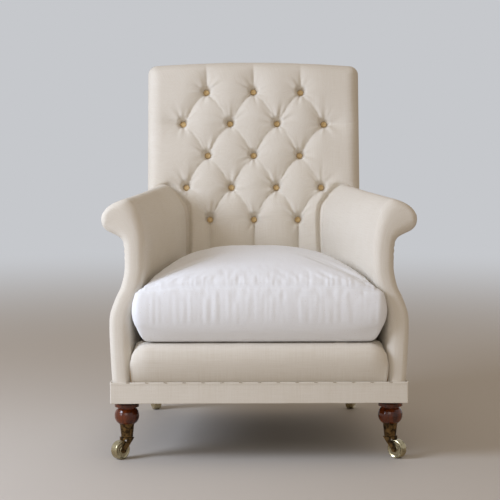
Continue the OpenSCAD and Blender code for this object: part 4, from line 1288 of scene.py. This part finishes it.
# %% Bands and tacking stitches
stitch_pitch, stitch_len, band_t, band_gap = 45, 8, 2.4, 0.6
apron_foot = frame_z - cloth_t
band_shares = [0, 0.03, 0.1, 0.2, 0.35, 0.5, 0.65, 0.76, 0.82, 0.86, 0.9, 0.94, 0.97, 1.0]


def band_x(y):
    """Half the width over the arms' outside at the top of the band."""
    t = clamp(y / bend_y)
    return inside_x(y, apron_top) + swell(t, apron_top) + lerp(arm_t, arm_back_t, t) + band_gap


def band_row(points, outward, z_share):
    """A row of the band at one height, from points along its length."""
    row = []
    middle = points[len(points) // 2]
    for point in points:
        along = (point - middle).length
        drawn = 0.6 * math.cos(math.pi * along / stitch_pitch) ** 8 * rise(z_share, 0.75, 1.0)
        hem = 0.9 * hump(z_share, 0.84, 1.04)
        foot = 1.2 * noise.noise(Vector((along / 60, 1, 2))) * (1 - z_share)
        wave = 0.5 * noise.noise(Vector((along / 40, z_share * 2, 9)))
        out = hem - drawn + wave + foot * 0.5
        z = lerp(apron_foot, apron_top, z_share) + (0.6 * foot if z_share < 0.5 else -0.5 * drawn)
        row.append(place(point.x + outward.x * out, point.y + outward.y * out, z))
    return row


def band(name, corners, outward, count, node):
    """A strip of the band, with so many steps between each two corners of its plan."""
    points = []
    for a, b in zip(corners, corners[1:]):
        points += [a.lerp(b, k / count) for k in range(count)]
    points.append(corners[-1])
    bm = bmesh.new()
    lay(bm, [band_row(points, outward, share) for share in band_shares])
    face_out(bm)
    piece = thicken(name_map(finish_piece(name, bm, calico)), band_t)
    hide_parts(node)
    return piece


front_x, rear_x = band_x(0) + cloth_t - 1.5, band_x(bend_y) + cloth_t
rear_y = body_d + 2 * 0.3 + 2 * cloth_t
for name, corners, outward, count, node, flat in (
    ("front_band", [(-front_x, -3.3), (front_x, -3.3)], (0, -1), 240, "front_apron", (0.72, 0.052)),
    ("left_band", [(-front_x, 0), (-rear_x, bend_y), (-rear_x, rear_y)], (-1, 0), 110,
     "side_apron_left", (0.66, 0.052)),
    ("right_band", [(front_x, 0), (rear_x, bend_y), (rear_x, rear_y)], (1, 0), 110,
     "side_apron_right", (0.66, 0.052)),
    ("rear_band", [(rear_x, rear_y), (-rear_x, rear_y)], (0, 1), 160, "back_apron", (0.59, 0.052)),
):
    piece = band(name, [Vector(c) for c in corners], Vector(outward), count, node)
    print(piece.name, len(piece.data.polygons), "faces")

# %% [markdown]
# The stitches are the only dark marks on the front, short lengths of grey linen thread that
# come out of the cloth and go in again. Each is a thin rod, bent into a low bow.

# %% Tacking stitches
thread_r, stitch_steps, stitch_sides = 0.65, 8, 8
stitch_y, stitch_bow, stitch_drop = -3.9, 1.3, 1.2
turns = [math.tau * m / stitch_sides for m in range(stitch_sides)]
stitches_beside = int(front_x / stitch_pitch)
bm = bmesh.new()
for k in range(-stitches_beside, stitches_beside + 1):
    tilt = 1.2 * noise.noise(Vector((k * 3.7, 2, 8)))
    rings = []
    for n in range(stitch_steps + 1):
        share = n / stitch_steps
        x = k * stitch_pitch + (share - 0.5) * stitch_len
        y = stitch_y - stitch_bow * math.sin(math.pi * share) ** 0.8
        z = apron_top - stitch_drop + tilt * (share - 0.5) * 2
        rings.append([place(x, y + thread_r * math.cos(a), z + thread_r * math.sin(a)) for a in turns])
    lay(bm, rings, close=True)
close_up(bm, 0.01)
close_ends(bm)
stitches = finish_piece("tacking_stitches", bm, tacking)
print(2 * stitches_beside + 1, "stitches")

# %% [markdown]
# ## Dust cloth
# A thin black cloth closes the underside and hides the webbing. It is tacked along the rails
# and sags a little between them, and it is cut out round the legs.

# %% Dust cloth
dust_steps, dust_sag, dust_wrinkle, leg_hole_r, dust_t = 40, 5, 1.2, 33, 0.8
low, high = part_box("bottom_cloth")
rear_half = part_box("back_rail")[1].x
rows = []
for k in range(dust_steps + 1):
    y = lerp(low.y, high.y, k / dust_steps)
    half = lerp(high.x, rear_half, k / dust_steps)
    row = []
    for j in range(dust_steps + 1):
        x = lerp(-half, half, j / dust_steps)
        sag = dust_sag * MM * math.sin(math.pi * j / dust_steps) * math.sin(math.pi * k / dust_steps)
        wrinkle = dust_wrinkle * MM * noise.noise(Vector((x * 14, y * 14, 1)))
        row.append(Vector((x, y, low.z - sag + wrinkle * min(1, sag / MM))))
    rows.append(row)
bm = bmesh.new()
lay(bm, rows)
leg_boxes = [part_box(end + "_leg_" + word) for end in ("front", "rear") for _, word in both_sides]
legs = [(near + far) / 2 for near, far in leg_boxes]
at_legs = [
    face for face in bm.faces
    if any((face.calc_center_median().xy - leg.xy).length < leg_hole_r * MM for leg in legs)
]
bmesh.ops.delete(bm, geom=at_legs, context="FACES")
face_out(bm)
dust_cloth = thicken(name_map(finish_piece("dust_cloth", bm, black_cloth)), dust_t)
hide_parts("bottom_cloth")
print(dust_cloth.name, len(dust_cloth.data.polygons), "faces")

# %% [markdown]
# ## Finishes for the hard pieces
# The wood, the springs and the castors keep the shapes of the frame. Each node takes the
# finish that its record names.

# %% Finish the frame's own pieces
finish_by_slot = {
    "beech": beech, "mahogany": mahogany, "aged_brass": aged_brass, "worn_brass": worn_brass,
    "spring_steel": steel, "webbing_jute": webbing, "hessian": hessian,
}
slot_of = {part["node"]: part["material_slot"] for part in frame["record"]["subparts"]}
seen_nodes = {name: piece for name, piece in frame["nodes"].items() if not piece.hide_render}
for name, piece in seen_nodes.items():
    piece.data.materials.clear()
    piece.data.materials.append(finish_by_slot[slot_of[name]])
print("finished", len(seen_nodes), "nodes")

# %% [markdown]
# ## Floor and light
# The chair stands on a plain pale floor that fades into a pale background, as in a studio.
# In the photograph the daylight comes from the left, so a large soft lamp stands there, and the
# rest of the light comes evenly from all sides. The background's brightness is only for the camera
# and for what polished brass and wood mirror, and doesn't light the chair.

# %% Studio
backdrop, floor_colour = "#C6C8CC", "#C8C2BA"
floor_r, fade_from, fade_to = 14, 1.2, 5.0


def shows_background(tree):
    """1 for a ray from the camera, off polish or through glass, and 0 for a ray of soft light."""
    rays = add(tree, "LightPath").outputs
    shows = rays["Is Camera Ray"]
    for kind in ("Is Glossy Ray", "Is Transmission Ray"):
        shows = add(tree, "Math", {0: shows, 1: rays[kind]}, operation="MAXIMUM").outputs[0]
    return shows


bm = bmesh.new()
bmesh.ops.create_circle(bm, cap_ends=True, segments=96, radius=floor_r)
floor_mesh = bpy.data.meshes.new("studio_floor")
bm.to_mesh(floor_mesh)
bm.free()
floor = bpy.data.objects.new("studio_floor", floor_mesh)
collection.objects.link(floor)
floor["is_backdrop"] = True

material, tree, shader = finish_of("pale_floor", Roughness=0.7, Specular_IOR_Level=0.2)
shader.inputs["Base Color"].default_value = linear(floor_colour)
spot = add(tree, "TexCoord").outputs["Object"]
reach = add(tree, "VectorMath", {0: spot}, operation="LENGTH").outputs["Value"]
fade = add(tree, "MapRange", {0: reach, 1: fade_from, 2: fade_to}, interpolation_type="SMOOTHSTEP")
share = add(tree, "Math", {0: fade.outputs[0], 1: shows_background(tree)}, operation="MULTIPLY")
glow = add(tree, "Emission", {"Color": linear(backdrop), "Strength": 1.0})
blend = add(tree, "MixShader", {0: share.outputs[0], 1: shader.outputs[0], 2: glow.outputs[0]})
tree.links.new(blend.outputs[0], tree.nodes["Material Output"].inputs["Surface"])
floor.data.materials.append(material)
print("the floor fades into the background from", fade_from, "to", fade_to, "m")

# %% Light
ambient_light = 0.43
middle_of_chair = Vector((0, 0, 0.45))
world = bpy.data.worlds.new("studio")
bpy.context.scene.world = world
world.use_nodes = True
tree = world.node_tree
ambient = tree.nodes["Background"]
ambient.inputs["Color"].default_value = linear("#FFECD6")
ambient.inputs["Strength"].default_value = ambient_light
shown = add(tree, "Background", {"Color": linear(backdrop), "Strength": 1.0})
mixed = add(tree, "MixShader", {0: shows_background(tree), 1: ambient.outputs[0], 2: shown.outputs[0]})
tree.links.new(mixed.outputs[0], tree.nodes["World Output"].inputs["Surface"])


def softbox(name, where, size, power, colour):
    """A square lamp that looks at the middle of the chair."""
    lamp = bpy.data.lights.new(name, "AREA")
    lamp.shape, lamp.size, lamp.energy = "SQUARE", size, power
    lamp.color = linear(colour)[:3]
    made = bpy.data.objects.new(name, lamp)
    made.location = where
    made.rotation_euler = (middle_of_chair - Vector(where)).to_track_quat("-Z", "Y").to_euler()
    collection.objects.link(made)


softbox("soft_left", (-2.35, -1.3, 1.6), 1.2, 65, "#DEEAFF")
softbox("front_fill", (-0.8, -4.4, 1.9), 2.0, 19, "#FFFAF4")
bpy.context.scene.view_settings.view_transform = "Standard"
print("studio ready")

# %% [markdown]
# ## Measure and finish
# The size of the frame's box and the size of the dressed chair's box are both printed.
# The dressed chair has to keep to the size of its frame.

# %% Sizes
made_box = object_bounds()
sizes = {"cad": [list(c) for c in cad_box], "visual": [list(c) for c in made_box]}
for name, (low, high) in sizes.items():
    print(name, [round((h - l) * 1000) for l, h in zip(low, high)], "mm")
